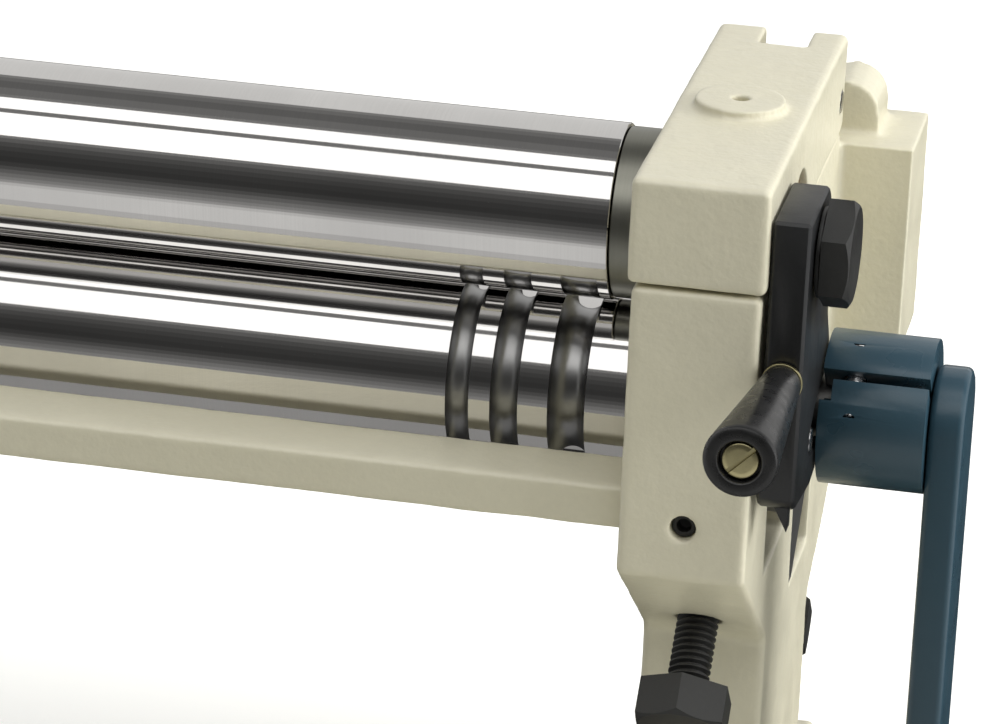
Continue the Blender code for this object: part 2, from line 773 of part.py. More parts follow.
def make_pins():
    """The cap's hinge pin, the latch pin and the swivel pins."""
    z = UPPER_AXIS_HEIGHT
    round_bar(
        "cap_hinge_pin",
        (-FRAME_HALF, HINGE_BACK, z + HINGE_RISE),
        (1, 0, 0),
        FRAME_HALF + CAP_SIDE,
        HINGE_PIN_RADIUS,
        STEEL,
        segments=SMALL_SEGMENTS,
    )
    latch_start = FRAME_HALF - LATCH_PIN_DEPTH
    round_bar(
        "latch_pin",
        (latch_start, -LATCH_PIN_FRONT, z - LATCH_PIN_DROP),
        (1, 0, 0),
        LEVER_OUTER - latch_start,
        LATCH_PIN_RADIUS,
        STEEL,
        segments=SMALL_SEGMENTS,
    )
    reach = SWIVEL_BLOCK_HALF_WIDTH - SWIVEL_PIN_SEAT
    for end, side, outer in (("front", -1, FRAME_FRONT), ("rear", 1, FRAME_BACK_STEP)):
        round_bar(
            end + "_swivel_pin",
            (SWIVEL_X, side * reach, z),
            (0, side, 0),
            outer - SWIVEL_PIN_RECESS - reach,
            SWIVEL_PIN_RADIUS,
            BLACK,
            segments=SMALL_SEGMENTS,
        )


def lever_outline():
    """The release lever seen along X: a bar that widens to a hook round the latch pin."""
    z = UPPER_AXIS_HEIGHT
    seat = -LATCH_PIN_FRONT
    slot = z - LATCH_PIN_DROP - LATCH_PIN_RADIUS - SEAT_GAP + HOOK_SLOT_RADIUS
    scale = FRAME_FRONT
    back_shares = ((-0.30, 0.30), (-0.135, -0.333), (-0.015, -0.50), (-0.025, -0.592))
    lip_shares = ((-0.055, -0.63), (-0.092, -0.648), (-0.283, -0.69), (-0.40, -0.712))
    jaw_shares = ((-0.19, -0.932), (-0.168, -0.972), (-0.138, -1.03), (-0.16, -1.07), (-0.417, -1.10))
    outline = [(-LEVER_TOP_BACK, z + LEVER_TOP_RISE)]
    outline += [(scale * back, z + scale * up) for back, up in back_shares + lip_shares]
    outline += arc((seat, slot), HOOK_SLOT_RADIUS, HOOK_SLOT_START, 1.5 * math.pi, 2 * ARC_STEPS)
    outline += [(scale * back, z + scale * up) for back, up in jaw_shares]
    outline += [
        (LEVER_CORNER - LEVER_FRONT, z - LEVER_BOTTOM_DROP),
        (-LEVER_FRONT, z + LEVER_CORNER - LEVER_BOTTOM_DROP),
        (-LEVER_FRONT, z + LEVER_TOP_RISE),
    ]
    return outline


def make_lever():
    """The release lever with its pointed toe, pivot bolt and washer."""
    z = UPPER_AXIS_HEIGHT
    lever = plate("release_lever", lever_outline(), LEVER_INNER, LEVER_OUTER, BLACK)
    soften(lever, LEVER_CHAMFER)
    bottom = z - LEVER_BOTTOM_DROP
    toe_right = LEVER_OUTER - TOE_INSET
    toe_left = toe_right - TOE_WIDTH
    toe_front = LEVER_CORNER + LEVER_CHAMFER - LEVER_FRONT
    toe = plate(
        "lever_toe",
        [
            (toe_left, bottom + OVERRUN),
            (toe_left, bottom),
            (toe_right, bottom - TOE_LENGTH),
            (toe_right, bottom + OVERRUN),
        ],
        toe_front,
        toe_front + TOE_DEPTH,
        plane="XZ",
    )
    join(lever, toe)
    grip_start, grip_way = grip_axis()
    cut(
        lever,
        round_bar(
            "lever_pivot_hole",
            (LEVER_INNER - OVERRUN, -PIVOT_FRONT, z + PIVOT_RISE),
            (1, 0, 0),
            LEVER_THICKNESS + 2 * OVERRUN,
            PIVOT_RADIUS + SEAT_GAP,
            segments=SMALL_SEGMENTS,
        ),
        round_bar(
            "lever_stud_hole",
            grip_start - grip_way * GRIP_LENGTH / 4,
            grip_way,
            GRIP_LENGTH / 4 + OVERRUN,
            GRIP_STUD_RADIUS + SEAT_GAP,
            segments=SMALL_SEGMENTS,
        ),
    )
    washer_start = LEVER_OUTER + SEAT_GAP
    turned(
        "lever_washer",
        ring_profile(PIVOT_RADIUS + SEAT_GAP, PIVOT_WASHER_RADIUS, PIVOT_WASHER_THICKNESS),
        (washer_start, -PIVOT_FRONT, z + PIVOT_RISE),
        (1, 0, 0),
        BLACK,
        segments=SMALL_SEGMENTS,
    )
    head_start = washer_start + PIVOT_WASHER_THICKNESS + SEAT_GAP
    shank_start = CAP_SIDE - PIVOT_DEPTH
    bolt = hexagon(
        "lever_pivot_bolt",
        (head_start, -PIVOT_FRONT, z + PIVOT_RISE),
        (1, 0, 0),
        PIVOT_HEAD_HEIGHT,
        PIVOT_HEAD_FLATS,
        BLACK,
    )
    shank = round_bar(
        "pivot_shank",
        (shank_start, -PIVOT_FRONT, z + PIVOT_RISE),
        (1, 0, 0),
        head_start - shank_start + PIVOT_HEAD_HEIGHT / 2,
        PIVOT_RADIUS,
        segments=SMALL_SEGMENTS,
    )
    join(bolt, shank)
    return lever, bolt


def ring_profile(inner, outer, height):
    """A plain ring's closed section, ready to turn."""
    return [(outer, height), (outer, 0.0), (inner, 0.0), (inner, height), (outer, height)]


def grip_axis():
    """Where the release lever's grip starts on the lever's front edge, and its direction."""
    start = Vector(
        (
            (LEVER_INNER + LEVER_OUTER) / 2,
            -LEVER_FRONT - SEAT_GAP,
            UPPER_AXIS_HEIGHT - GRIP_DROP,
        )
    )
    return start, Vector((-math.sin(GRIP_YAW), -math.cos(GRIP_YAW), 0.0))


def make_lever_grip():
    """The tapered grip with its base washer and the slotted screw sunk in its end."""
    start, way = grip_axis()
    washer_room = GRIP_WASHER_RADIUS * math.sin(GRIP_YAW)
    washer_start = start + way * washer_room
    turned(
        "lever_grip_washer",
        ring_profile(GRIP_STUD_RADIUS + SEAT_GAP, GRIP_WASHER_RADIUS, GRIP_WASHER_THICKNESS),
        washer_start,
        way,
        BRASS,
        segments=SMALL_SEGMENTS,
    )
    base = washer_start + way * (GRIP_WASHER_THICKNESS + SEAT_GAP)
    bore = GRIP_STUD_RADIUS + SEAT_GAP
    floor = GRIP_LENGTH - GRIP_COUNTERBORE_DEPTH
    end_round = arc(
        (GRIP_END_RADIUS - GRIP_END_ROUND, GRIP_LENGTH - GRIP_END_ROUND),
        GRIP_END_ROUND,
        math.pi / 2,
        0.0,
    )
    profile = [(GRIP_COUNTERBORE_RADIUS, GRIP_LENGTH)] + end_round
    profile += [
        (GRIP_BASE_RADIUS, 0.0),
        (bore, 0.0),
        (bore, floor),
        (GRIP_COUNTERBORE_RADIUS, floor),
        (GRIP_COUNTERBORE_RADIUS, GRIP_LENGTH),
    ]
    grip = turned("lever_grip", profile, base, way, PLASTIC)
    head_start = base + way * (floor + SEAT_GAP)
    screw = round_bar(
        "lever_grip_screw",
        head_start,
        way,
        GRIP_SCREW_HEAD_HEIGHT,
        GRIP_SCREW_HEAD_RADIUS,
        BRASS,
    )
    back = LEVER_THICKNESS
    shank = round_bar(
        "grip_screw_shank",
        start - way * back,
        way,
        (head_start - start).length + back + GRIP_SCREW_HEAD_HEIGHT / 2,
        GRIP_STUD_RADIUS,
        segments=SMALL_SEGMENTS,
    )
    slot_top = head_start + way * GRIP_SCREW_HEAD_HEIGHT
    bm = bmesh.new()
    bmesh.ops.create_cube(bm, size=1.0)
    size = (4 * GRIP_SCREW_HEAD_RADIUS, SCREW_SLOT_WIDTH, 2 * SCREW_SLOT_DEPTH)
    bmesh.ops.scale(bm, vec=size, verts=bm.verts)
    bmesh.ops.rotate(bm, cent=(0, 0, 0), matrix=Matrix.Rotation(math.radians(45), 3, "Z"), verts=bm.verts)
    bmesh.ops.transform(bm, matrix=along(slot_top, way), verts=bm.verts)
    slot = add_object("grip_screw_slot", mesh_from(bm, "grip_screw_slot"))
    join(screw, shank)
    cut(screw, slot)
    return grip


def shaft_section(left_stub, length_points):
    """Points of a stepped shaft's outer side with both end centres, top first."""
    return [(0.0, length_points[-1][1])] + list(reversed(length_points)) + [(0.0, left_stub)]


def key_slot(name, axis_height):
    """The keyway that a gear and its stub share."""
    return box(
        name,
        (GEAR_OUTER, -KEY_WIDTH / 2 - SEAT_GAP, axis_height + STUB_RADIUS - KEY_HEIGHT / 2 - SEAT_GAP),
        (
            GEAR_INNER + SEAT_GAP,
            KEY_WIDTH / 2 + SEAT_GAP,
            axis_height + STUB_RADIUS + KEY_HEIGHT / 2 + SEAT_GAP,
        ),
    )


def make_upper_roll():
    """The upper roll with its collar, its bushes and the swivel block that lets it lift."""
    z = UPPER_AXIS_HEIGHT
    face_start = LEFT_INNER + SWIVEL_END_FLOAT
    face_end = face_start + ROLL_FACE_LENGTH
    journal_end = FRAME_HALF
    steps = [
        (STUB_RADIUS, STUB_END),
        (STUB_RADIUS, LEFT_OUTER),
        (JOURNAL_RADIUS, LEFT_OUTER),
        (JOURNAL_RADIUS, face_start),
        (ROLL_RADIUS, face_start),
        (ROLL_RADIUS, face_end),
        (JOURNAL_RADIUS, face_end),
        (JOURNAL_RADIUS, journal_end),
    ]
    roll = turned(
        "upper_roll", shaft_section(STUB_END, steps), (0, 0, z), (1, 0, 0), STEEL, ROLL_SEGMENTS
    )
    cut(roll, key_slot("upper_key_slot", z))
    collar_length = COLLAR_LENGTH - SEAT_GAP - CAP_INNER_OVERHANG
    turned(
        "upper_roll_collar",
        ring_profile(JOURNAL_RADIUS + SEAT_GAP, COLLAR_RADIUS, collar_length),
        (face_end + SEAT_GAP, 0, z),
        (1, 0, 0),
        DULL_STEEL,
        ROLL_SEGMENTS,
    )
    turned(
        "upper_right_bush",
        ring_profile(JOURNAL_RADIUS + SEAT_GAP, CAP_BUSH_RADIUS, FRAME_THICKNESS - 2 * BUSH_INSET),
        (BUSH_INSET - FRAME_HALF, 0, z),
        (1, 0, 0),
        BRONZE,
    )
    turned(
        "upper_left_bush",
        ring_profile(JOURNAL_RADIUS + SEAT_GAP, BUSH_RADIUS, 2 * SWIVEL_BLOCK_HALF_DEPTH),
        (LEFT_CENTRE - SWIVEL_BLOCK_HALF_DEPTH, 0, z),
        (1, 0, 0),
        BRONZE,
    )
    block = box(
        "swivel_block",
        (LEFT_CENTRE - SWIVEL_BLOCK_HALF_DEPTH, -SWIVEL_BLOCK_HALF_WIDTH, z - SWIVEL_BLOCK_HALF_HEIGHT),
        (LEFT_CENTRE + SWIVEL_BLOCK_HALF_DEPTH, SWIVEL_BLOCK_HALF_WIDTH, z + SWIVEL_BLOCK_HALF_HEIGHT),
        IRON,
    )
    cut(
        block,
        round_bar(
            "swivel_block_bore",
            (LEFT_OUTER - OVERRUN, 0, z),
            (1, 0, 0),
            FRAME_THICKNESS + 2 * OVERRUN,
            BUSH_RADIUS + SEAT_GAP,
        ),
    )
    for side in (-1, 1):
        cut(
            block,
            round_bar(
                f"swivel_seat_{side}",
                (SWIVEL_X, side * (SWIVEL_BLOCK_HALF_WIDTH - SWIVEL_PIN_SEAT - SEAT_GAP), z),
                (0, side, 0),
                SWIVEL_PIN_SEAT + OVERRUN,
                SWIVEL_PIN_RADIUS + SEAT_GAP,
                segments=SMALL_SEGMENTS,
            ),
        )
    return roll, block


def grooved_face(face_end):
    """The lower roll's outer side from its right shoulder back to the last wire groove."""
    points = []
    for space, width in zip(GROOVE_SPACES, GROOVE_WIDTHS):
        right = RIGHT_INNER - space
        centre = (ROLL_RADIUS, right - width / 2)
        points += [
            (radius, place)
            for radius, place in arc(centre, width / 2, math.pi / 2, 3 * math.pi / 2, GROOVE_STEPS)
        ]
    return [(ROLL_RADIUS, face_end)] + points


def make_lower_roll():
    """The driven lower roll with its wire grooves and the shaft for the crank."""
    z = LOWER_AXIS_HEIGHT
    face_start = LEFT_INNER + END_FLOAT
    face_end = RIGHT_INNER - END_FLOAT
    profile = [
        (0.0, HUB_END - BUSH_INSET),
        (SHAFT_RADIUS, HUB_END - BUSH_INSET),
        (SHAFT_RADIUS, FRAME_HALF),
        (JOURNAL_RADIUS, FRAME_HALF),
        (JOURNAL_RADIUS, face_end),
    ]
    profile += grooved_face(face_end)
    profile += [
        (ROLL_RADIUS, face_start),
        (JOURNAL_RADIUS, face_start),
        (JOURNAL_RADIUS, LEFT_OUTER),
        (STUB_RADIUS, LEFT_OUTER),
        (STUB_RADIUS, STUB_END),
        (0.0, STUB_END),
    ]
    roll = turned("lower_roll", profile, (0, 0, z), (1, 0, 0), STEEL, ROLL_SEGMENTS)
    cut(roll, key_slot("lower_key_slot", z))
    return roll


def make_rear_roll():
    """The idle bending roll behind the pinch rolls."""
    face_start = LEFT_INNER + END_FLOAT
    face_end = RIGHT_INNER - END_FLOAT
    steps = [
        (JOURNAL_RADIUS, LEFT_OUTER + BUSH_INSET),
        (JOURNAL_RADIUS, face_start),
        (ROLL_RADIUS, face_start),
        (ROLL_RADIUS, face_end),
        (JOURNAL_RADIUS, face_end),
        (JOURNAL_RADIUS, FRAME_HALF - BUSH_INSET),
    ]
    return turned(
        "rear_roll",
        shaft_section(LEFT_OUTER + BUSH_INSET, steps),
        (0, REAR_ROLL_BACK, REAR_AXIS_HEIGHT),
        (1, 0, 0),
        STEEL,
        ROLL_SEGMENTS,
    )


def make_bearing(tag, x, block):
    """A sliding bearing block and its bush."""
    axis_back, axis_height = block[0], block[1]
    made = plate(
        tag + "_block", block_outline(*block), x - BLOCK_HALF_THICKNESS, x + BLOCK_HALF_THICKNESS, IRON
    )
    cut(
        made,
        round_bar(
            tag + "_block_bore",
            (x - FRAME_HALF - OVERRUN, axis_back, axis_height),
            (1, 0, 0),
            FRAME_THICKNESS + 2 * OVERRUN,
            BUSH_RADIUS + SEAT_GAP,
        ),
    )
    bush = turned(
        tag + "_bush",
        ring_profile(JOURNAL_RADIUS + SEAT_GAP, BUSH_RADIUS, FRAME_THICKNESS - 2 * BUSH_INSET),
        (x - FRAME_HALF + BUSH_INSET, axis_back, axis_height),
        (1, 0, 0),
        BRONZE,
    )
    return [made, bush]


def make_adjusting_screw(tag, x, block, length):
    """A hex-headed screw that bears on its block's foot."""
    start, outward = screw_line(block)
    start.x = x
    screw = round_bar(
        tag + "_adjusting_screw", start, outward, length + SCREW_HEAD_HEIGHT / 2, SCREW_RADIUS, BLACK,
        segments=SMALL_SEGMENTS,
    )
    head = hexagon(
        tag + "_screw_head", start + outward * length, outward, SCREW_HEAD_HEIGHT, SCREW_HEAD_FLATS
    )
    join(screw, head)
    return screw


def involute(angle):
    """The involute of a pressure angle."""
    return math.tan(angle) - angle


def gear_outline(axis_height, first_tooth):
    """A spur gear seen along X: involute flanks from the base circle and radial feet below it."""
    pitch_radius = LOWER_AXIS_DROP / 2
    base = pitch_radius * math.cos(GEAR_PRESSURE_ANGLE)
    half_turn = GEAR_TOOTH_THICKNESS / (2 * pitch_radius) + involute(GEAR_PRESSURE_ANGLE)
    flank = [(GEAR_ROOT_RADIUS, half_turn)]
    for step in range(FLANK_STEPS + 1):
        radius = base + (GEAR_TIP_RADIUS - base) * step / FLANK_STEPS
        flank.append((radius, half_turn - involute(math.acos(base / radius))))
    outline = []
    for tooth in range(GEAR_TEETH):
        middle = first_tooth + 2 * math.pi * tooth / GEAR_TEETH
        side = [(radius, middle - turn) for radius, turn in flank]
        side += [(radius, middle + turn) for radius, turn in reversed(flank)]
        outline += [
            (radius * math.cos(turn), axis_height + radius * math.sin(turn)) for radius, turn in side
        ]
    return outline


def make_gear(tag, axis_height, first_tooth):
    """A roll gear with its key and retaining ring."""
    gear = plate(tag + "_gear", gear_outline(axis_height, first_tooth), GEAR_OUTER, GEAR_INNER, IRON)
    cut(
        gear,
        round_bar(
            tag + "_gear_bore",
            (GEAR_OUTER - OVERRUN, 0, axis_height),
            (1, 0, 0),
            GEAR_WIDTH + 2 * OVERRUN,
            STUB_RADIUS + SEAT_GAP,
        ),
        box(
            tag + "_gear_keyway",
            (GEAR_OUTER - OVERRUN, -KEY_WIDTH / 2 - SEAT_GAP, axis_height),
            (
                GEAR_INNER + OVERRUN,
                KEY_WIDTH / 2 + SEAT_GAP,
                axis_height + STUB_RADIUS + KEY_HEIGHT / 2 + SEAT_GAP,
            ),
        ),
    )
    key = box(
        tag + "_gear_key",
        (GEAR_OUTER + SEAT_GAP, -KEY_WIDTH / 2, axis_height + STUB_RADIUS - KEY_HEIGHT / 2),
        (GEAR_INNER, KEY_WIDTH / 2, axis_height + STUB_RADIUS + KEY_HEIGHT / 2),
        STEEL,
    )
    ring = turned(
        tag + "_retaining_ring",
        ring_profile(STUB_RADIUS + SEAT_GAP, RING_RADIUS, RING_THICKNESS),
        (GEAR_OUTER - SEAT_GAP - RING_THICKNESS, 0, axis_height),
        (1, 0, 0),
        BLACK,
        segments=SMALL_SEGMENTS,
    )
    return [gear, key, ring]


def cover_screw_places():
    """Where the gear cover's screws enter the left frame, as (Y, Z)."""
    reach = COVER_RADIUS + COVER_FLANGE / 2
    across = reach * math.cos(COVER_SCREW_ANGLE)
    up = UPPER_AXIS_HEIGHT + reach * math.sin(COVER_SCREW_ANGLE)
    return [(-across, up), (across, up), (-reach, UPPER_AXIS_HEIGHT - COVER_SCREW_DROP)]


def stadium(radius):
    """The gear cover's outline: two half circles round the gears, joined by straight sides."""
    top = (0.0, UPPER_AXIS_HEIGHT)
    bottom = (0.0, LOWER_AXIS_HEIGHT - FRONT_DROP)
    steps = 4 * ARC_STEPS
    return arc(top, radius, 0.0, math.pi, steps) + arc(bottom, radius, math.pi, 2 * math.pi, steps)


def make_gear_cover():
    """The pressed cover over the gears, with its flange and screws."""
    face = LEFT_OUTER - SEAT_GAP
    cover = plate("gear_cover", stadium(COVER_RADIUS), COVER_END - COVER_WALL, face, CREAM)
    flange = plate("cover_flange", stadium(COVER_RADIUS + COVER_FLANGE), face - COVER_WALL, face)
    hollow = plate("cover_hollow", stadium(COVER_RADIUS - COVER_WALL), COVER_END, face + OVERRUN)
    join(cover, flange)
    cut(cover, hollow)
    for number, (back, height) in enumerate(cover_screw_places(), 1):
        hole_start = (face - COVER_WALL - OVERRUN, back, height)
        hole = COVER_SCREW_RADIUS + SEAT_GAP
        cut(
            cover,
            round_bar(
                f"cover_screw_hole_{number}", hole_start, (1, 0, 0), COVER_WALL + 2 * OVERRUN, hole,
                segments=SMALL_SEGMENTS,
            ),
        )
        head_base = face - COVER_WALL - SEAT_GAP
        profile = [
            (0.0, 0.0),
            (COVER_SCREW_RADIUS, 0.0),
            (COVER_SCREW_RADIUS, -COVER_SCREW_LENGTH),
            (COVER_SCREW_HEAD_RADIUS, -COVER_SCREW_LENGTH),
            (COVER_SCREW_HEAD_RADIUS, -COVER_SCREW_LENGTH - COVER_SCREW_HEAD_HEIGHT),
            (0.0, -COVER_SCREW_LENGTH - COVER_SCREW_HEAD_HEIGHT),
        ]
        tip = (head_base + COVER_SCREW_LENGTH, back, height)
        turned(f"cover_screw_{number}", profile, tip, (1, 0, 0), BLACK, segments=SMALL_SEGMENTS)


def make_tie_bars():
    """The tie bars that join the frames, and the grub screws that hold the front one."""
    low_x = LEFT_INNER - TIE_DEPTH
    high_x = RIGHT_INNER + TIE_DEPTH
    for end, (low, high) in tie_sections().items():
        bar = box(end + "_tie_bar", (low_x, *low), (high_x, *high), CREAM)
        soften(bar, FRAME_EDGE_ROUND, 2)
    start_y = -FRONT_TIE_FRONT - SEAT_GAP
    for tag, x in (("right", 0.0), ("left", LEFT_CENTRE)):
        start = (x, start_y, UPPER_AXIS_HEIGHT - FRONT_TIE_DROP)
        round_bar(
            tag + "_grub_screw", start, (0, -1, 0), GRUB_LENGTH, GRUB_RADIUS, BLACK,
            segments=SMALL_SEGMENTS,
        )


def make_hub():
    """The crank's split hub with its relief notch and clamp screw."""
    z = LOWER_AXIS_HEIGHT
    hub = round_bar("crank_hub", (HUB_START, 0, z), (1, 0, 0), HUB_LENGTH, HUB_RADIUS, BLUE)
    turn = Matrix.Translation((0, 0, z)) @ Matrix.Rotation(HUB_SLIT_ANGLE, 4, "X")
    slit = box(
        "hub_slit",
        (HUB_START - OVERRUN, -HUB_SLIT / 2, 0.0),
        (HUB_END + OVERRUN, HUB_SLIT / 2, HUB_RADIUS + OVERRUN),
    )
    notch = box(
        "hub_notch",
        (HUB_START - OVERRUN, -HUB_NOTCH_WIDTH + HUB_SLIT / 2, SHAFT_RADIUS),
        (HUB_START + HUB_NOTCH_LENGTH, HUB_SLIT / 2, HUB_RADIUS + OVERRUN),
    )
    screw_x = HUB_START + CLAMP_SCREW_PLACE
    screw_hole = round_bar(
        "clamp_screw_hole",
        (screw_x, -CLAMP_SCREW_REACH - SEAT_GAP, CLAMP_SCREW_OFFSET),
        (0, 1, 0),
        2 * (CLAMP_SCREW_REACH + SEAT_GAP),
        CLAMP_SCREW_RADIUS + SEAT_GAP,
        segments=SMALL_SEGMENTS,
    )
    for tool in (slit, notch, screw_hole):
        tool.matrix_world = turn
    shaft = round_bar(
        "hub_bore",
        (HUB_START - OVERRUN, 0, z),
        (1, 0, 0),
        HUB_LENGTH + 2 * OVERRUN,
        SHAFT_RADIUS + SEAT_GAP,
    )
    cut(hub, shaft, slit, notch, screw_hole)
    screw = round_bar(
        "hub_clamp_screw",
        (screw_x, -CLAMP_SCREW_REACH, CLAMP_SCREW_OFFSET),
        (0, 1, 0),
        2 * CLAMP_SCREW_REACH,
        CLAMP_SCREW_RADIUS,
        ZINC,
        segments=SMALL_SEGMENTS,
    )
    screw.matrix_world = turn
    return [hub, screw]


def make_crank():
    """The crank arm, hanging down at rest, with its turning grip on a shoulder bolt."""
    z = LOWER_AXIS_HEIGHT
    half = ARM_WIDTH / 2
    outline = arc((0.0, z), half, 0.0, math.pi, 2 * ARC_STEPS)
    outline += arc((0.0, z - ARM_LENGTH), half, math.pi, 2 * math.pi, 2 * ARC_STEPS)
    arm = plate("crank_arm", outline, ARM_START, ARM_END, BLUE)
    soften(arm, FRAME_EDGE_ROUND)
    grip_z = z - ARM_LENGTH
    cut(
        arm,
        round_bar(
            "arm_bolt_hole",
            (ARM_START - OVERRUN, 0, grip_z),
            (1, 0, 0),
            ARM_THICKNESS + 2 * OVERRUN,
            CRANK_BOLT_RADIUS + SEAT_GAP,
            segments=SMALL_SEGMENTS,
        ),
    )
    bore = CRANK_BOLT_RADIUS + SEAT_GAP
    middle = CRANK_GRIP_LENGTH / 2
    swell = CRANK_GRIP_RADIUS - CRANK_GRIP_WAIST_RADIUS
    side = [
        (
            CRANK_GRIP_WAIST_RADIUS + swell * math.sin(math.pi * step / CRANK_GRIP_STEPS),
            CRANK_GRIP_LENGTH - CRANK_GRIP_ROUND
            - (CRANK_GRIP_LENGTH - 2 * CRANK_GRIP_ROUND) * step / CRANK_GRIP_STEPS,
        )
        for step in range(CRANK_GRIP_STEPS + 1)
    ]
    shoulder = CRANK_GRIP_WAIST_RADIUS - CRANK_GRIP_ROUND / 2
    profile = [(bore, CRANK_GRIP_LENGTH), (shoulder, CRANK_GRIP_LENGTH)] + side
    profile += [(shoulder, 0.0), (bore, 0.0), (bore, middle), (bore, CRANK_GRIP_LENGTH)]
    grip_start = ARM_END + CRANK_GRIP_FLOAT
    grip = turned("crank_grip", profile, (grip_start, 0, grip_z), (1, 0, 0), PLASTIC, SMALL_SEGMENTS)
    head_start = grip_start + CRANK_GRIP_LENGTH + CRANK_GRIP_FLOAT
    bolt_profile = [
        (0.0, head_start + CRANK_BOLT_HEAD_HEIGHT),
        (CRANK_BOLT_HEAD_RADIUS, head_start + CRANK_BOLT_HEAD_HEIGHT),
        (CRANK_BOLT_HEAD_RADIUS, head_start),
        (CRANK_BOLT_RADIUS, head_start),
        (CRANK_BOLT_RADIUS, ARM_START),
        (0.0, ARM_START),
    ]
    bolt = turned(
        "crank_grip_bolt", bolt_profile, (0, 0, grip_z), (1, 0, 0), ZINC, segments=SMALL_SEGMENTS
    )
    return [arm, bolt], grip


def build():
    """Make every piece and hang the moving ones on their joints' axes."""
    make_right_frame()
    make_left_frame()
    cap = make_cap()
    make_pins()
    lever, bolt = make_lever()
    grip = make_lever_grip()
    upper, swivel = make_upper_roll()
    lower = make_lower_roll()
    rear = make_rear_roll()
    front_blocks = make_bearing("lower_right", 0.0, FRONT_BLOCK)
    front_blocks += make_bearing("lower_left", LEFT_CENTRE, FRONT_BLOCK)
    rear_blocks = make_bearing("rear_right", 0.0, REAR_BLOCK)
    rear_blocks += make_bearing("rear_left", LEFT_CENTRE, REAR_BLOCK)
    for tag, x, side in (("right", 0.0, REAR_SCREW_SIDE), ("left", LEFT_CENTRE, -REAR_SCREW_SIDE)):
        make_adjusting_screw("front_" + tag, x, FRONT_BLOCK, FRONT_SCREW_LENGTH)
        make_adjusting_screw("rear_" + tag, x + side, REAR_BLOCK, REAR_SCREW_LENGTH)
    upper_gear = make_gear("upper", UPPER_AXIS_HEIGHT, -math.pi / 2)
    lower_gear = make_gear("lower", LOWER_AXIS_HEIGHT, math.pi / 2 + math.pi / GEAR_TEETH)
    make_gear_cover()
    make_tie_bars()
    hub = make_hub()
    arm, crank_grip = make_crank()
    find = bpy.data.objects.get
    pivot(
        "cap_hinge_axis",
        (0, HINGE_BACK, UPPER_AXIS_HEIGHT + HINGE_RISE),
        [cap, bolt, find("lever_washer")],
    )
    pivot(
        "lever_axis",
        (LEVER_OUTER, -PIVOT_FRONT, UPPER_AXIS_HEIGHT + PIVOT_RISE),
        [lever, find("lever_grip_washer"), find("lever_grip_screw")],
    )
    pivot("lever_grip_axis", grip_axis()[0], [grip])
    pivot(
        "upper_swing_axis",
        (SWIVEL_X, 0, UPPER_AXIS_HEIGHT),
        [swivel, find("upper_right_bush"), find("upper_left_bush")],
    )
    pivot("upper_roll_axis", (0, 0, UPPER_AXIS_HEIGHT), [upper, find("upper_roll_collar")] + upper_gear)
    pivot("front_slide", (0, 0, LOWER_AXIS_HEIGHT), front_blocks)
    pivot("lower_roll_axis", (0, 0, LOWER_AXIS_HEIGHT), [lower] + lower_gear + hub + arm)
    pivot("crank_grip_axis", (ARM_END, 0, LOWER_AXIS_HEIGHT - ARM_LENGTH), [crank_grip])
    pivot("rear_slide", (0, REAR_ROLL_BACK, REAR_AXIS_HEIGHT), rear_blocks)
    pivot("rear_roll_axis", (0, REAR_ROLL_BACK, REAR_AXIS_HEIGHT), [rear])


build()
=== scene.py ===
"""Looks for the bench slip roll: castings, polished rolls, threads, grips and the studio round them."""

import json
import math

import bmesh
import bpy
from mathutils import Matrix, Vector, noise


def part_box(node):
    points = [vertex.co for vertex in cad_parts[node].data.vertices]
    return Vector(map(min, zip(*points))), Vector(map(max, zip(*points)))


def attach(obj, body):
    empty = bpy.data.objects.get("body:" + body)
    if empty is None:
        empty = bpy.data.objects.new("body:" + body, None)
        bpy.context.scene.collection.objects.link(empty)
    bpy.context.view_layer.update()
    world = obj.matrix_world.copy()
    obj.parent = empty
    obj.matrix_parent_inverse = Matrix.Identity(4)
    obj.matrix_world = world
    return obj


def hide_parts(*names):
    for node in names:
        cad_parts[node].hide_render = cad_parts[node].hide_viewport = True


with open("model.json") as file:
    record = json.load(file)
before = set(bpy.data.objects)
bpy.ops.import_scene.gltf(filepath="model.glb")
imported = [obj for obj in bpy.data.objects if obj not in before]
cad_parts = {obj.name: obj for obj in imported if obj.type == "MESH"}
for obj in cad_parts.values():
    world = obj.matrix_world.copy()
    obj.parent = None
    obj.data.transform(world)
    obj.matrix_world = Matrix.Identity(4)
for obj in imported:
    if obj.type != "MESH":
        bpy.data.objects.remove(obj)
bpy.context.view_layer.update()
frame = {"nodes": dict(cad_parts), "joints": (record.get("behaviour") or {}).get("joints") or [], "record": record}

NODES = frame["nodes"]
BODY_OF = {node: body for body, names in frame["record"]["behaviour"]["bodies"].items() for node in names}

# Places read from the frame
UPPER_LOW, UPPER_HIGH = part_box("upper_roll")
ROLL_RADIUS = (UPPER_HIGH.z - UPPER_LOW.z) / 2
UPPER_Z = (UPPER_HIGH.z + UPPER_LOW.z) / 2
LOWER_LOW, LOWER_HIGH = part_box("lower_roll")
LOWER_Z = (LOWER_HIGH.z + LOWER_LOW.z) / 2
REAR_LOW, REAR_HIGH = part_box("rear_roll")
REAR_Y = (REAR_HIGH.y + REAR_LOW.y) / 2
REAR_Z = (REAR_HIGH.z + REAR_LOW.z) / 2
FRAME_HALF = -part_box("right_frame")[0].x
COLLAR_LOW, COLLAR_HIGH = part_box("upper_roll_collar")
LEFT_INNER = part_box("left_frame")[1].x
LEFT_LOW_FACE = LEFT_INNER - 2 * FRAME_HALF

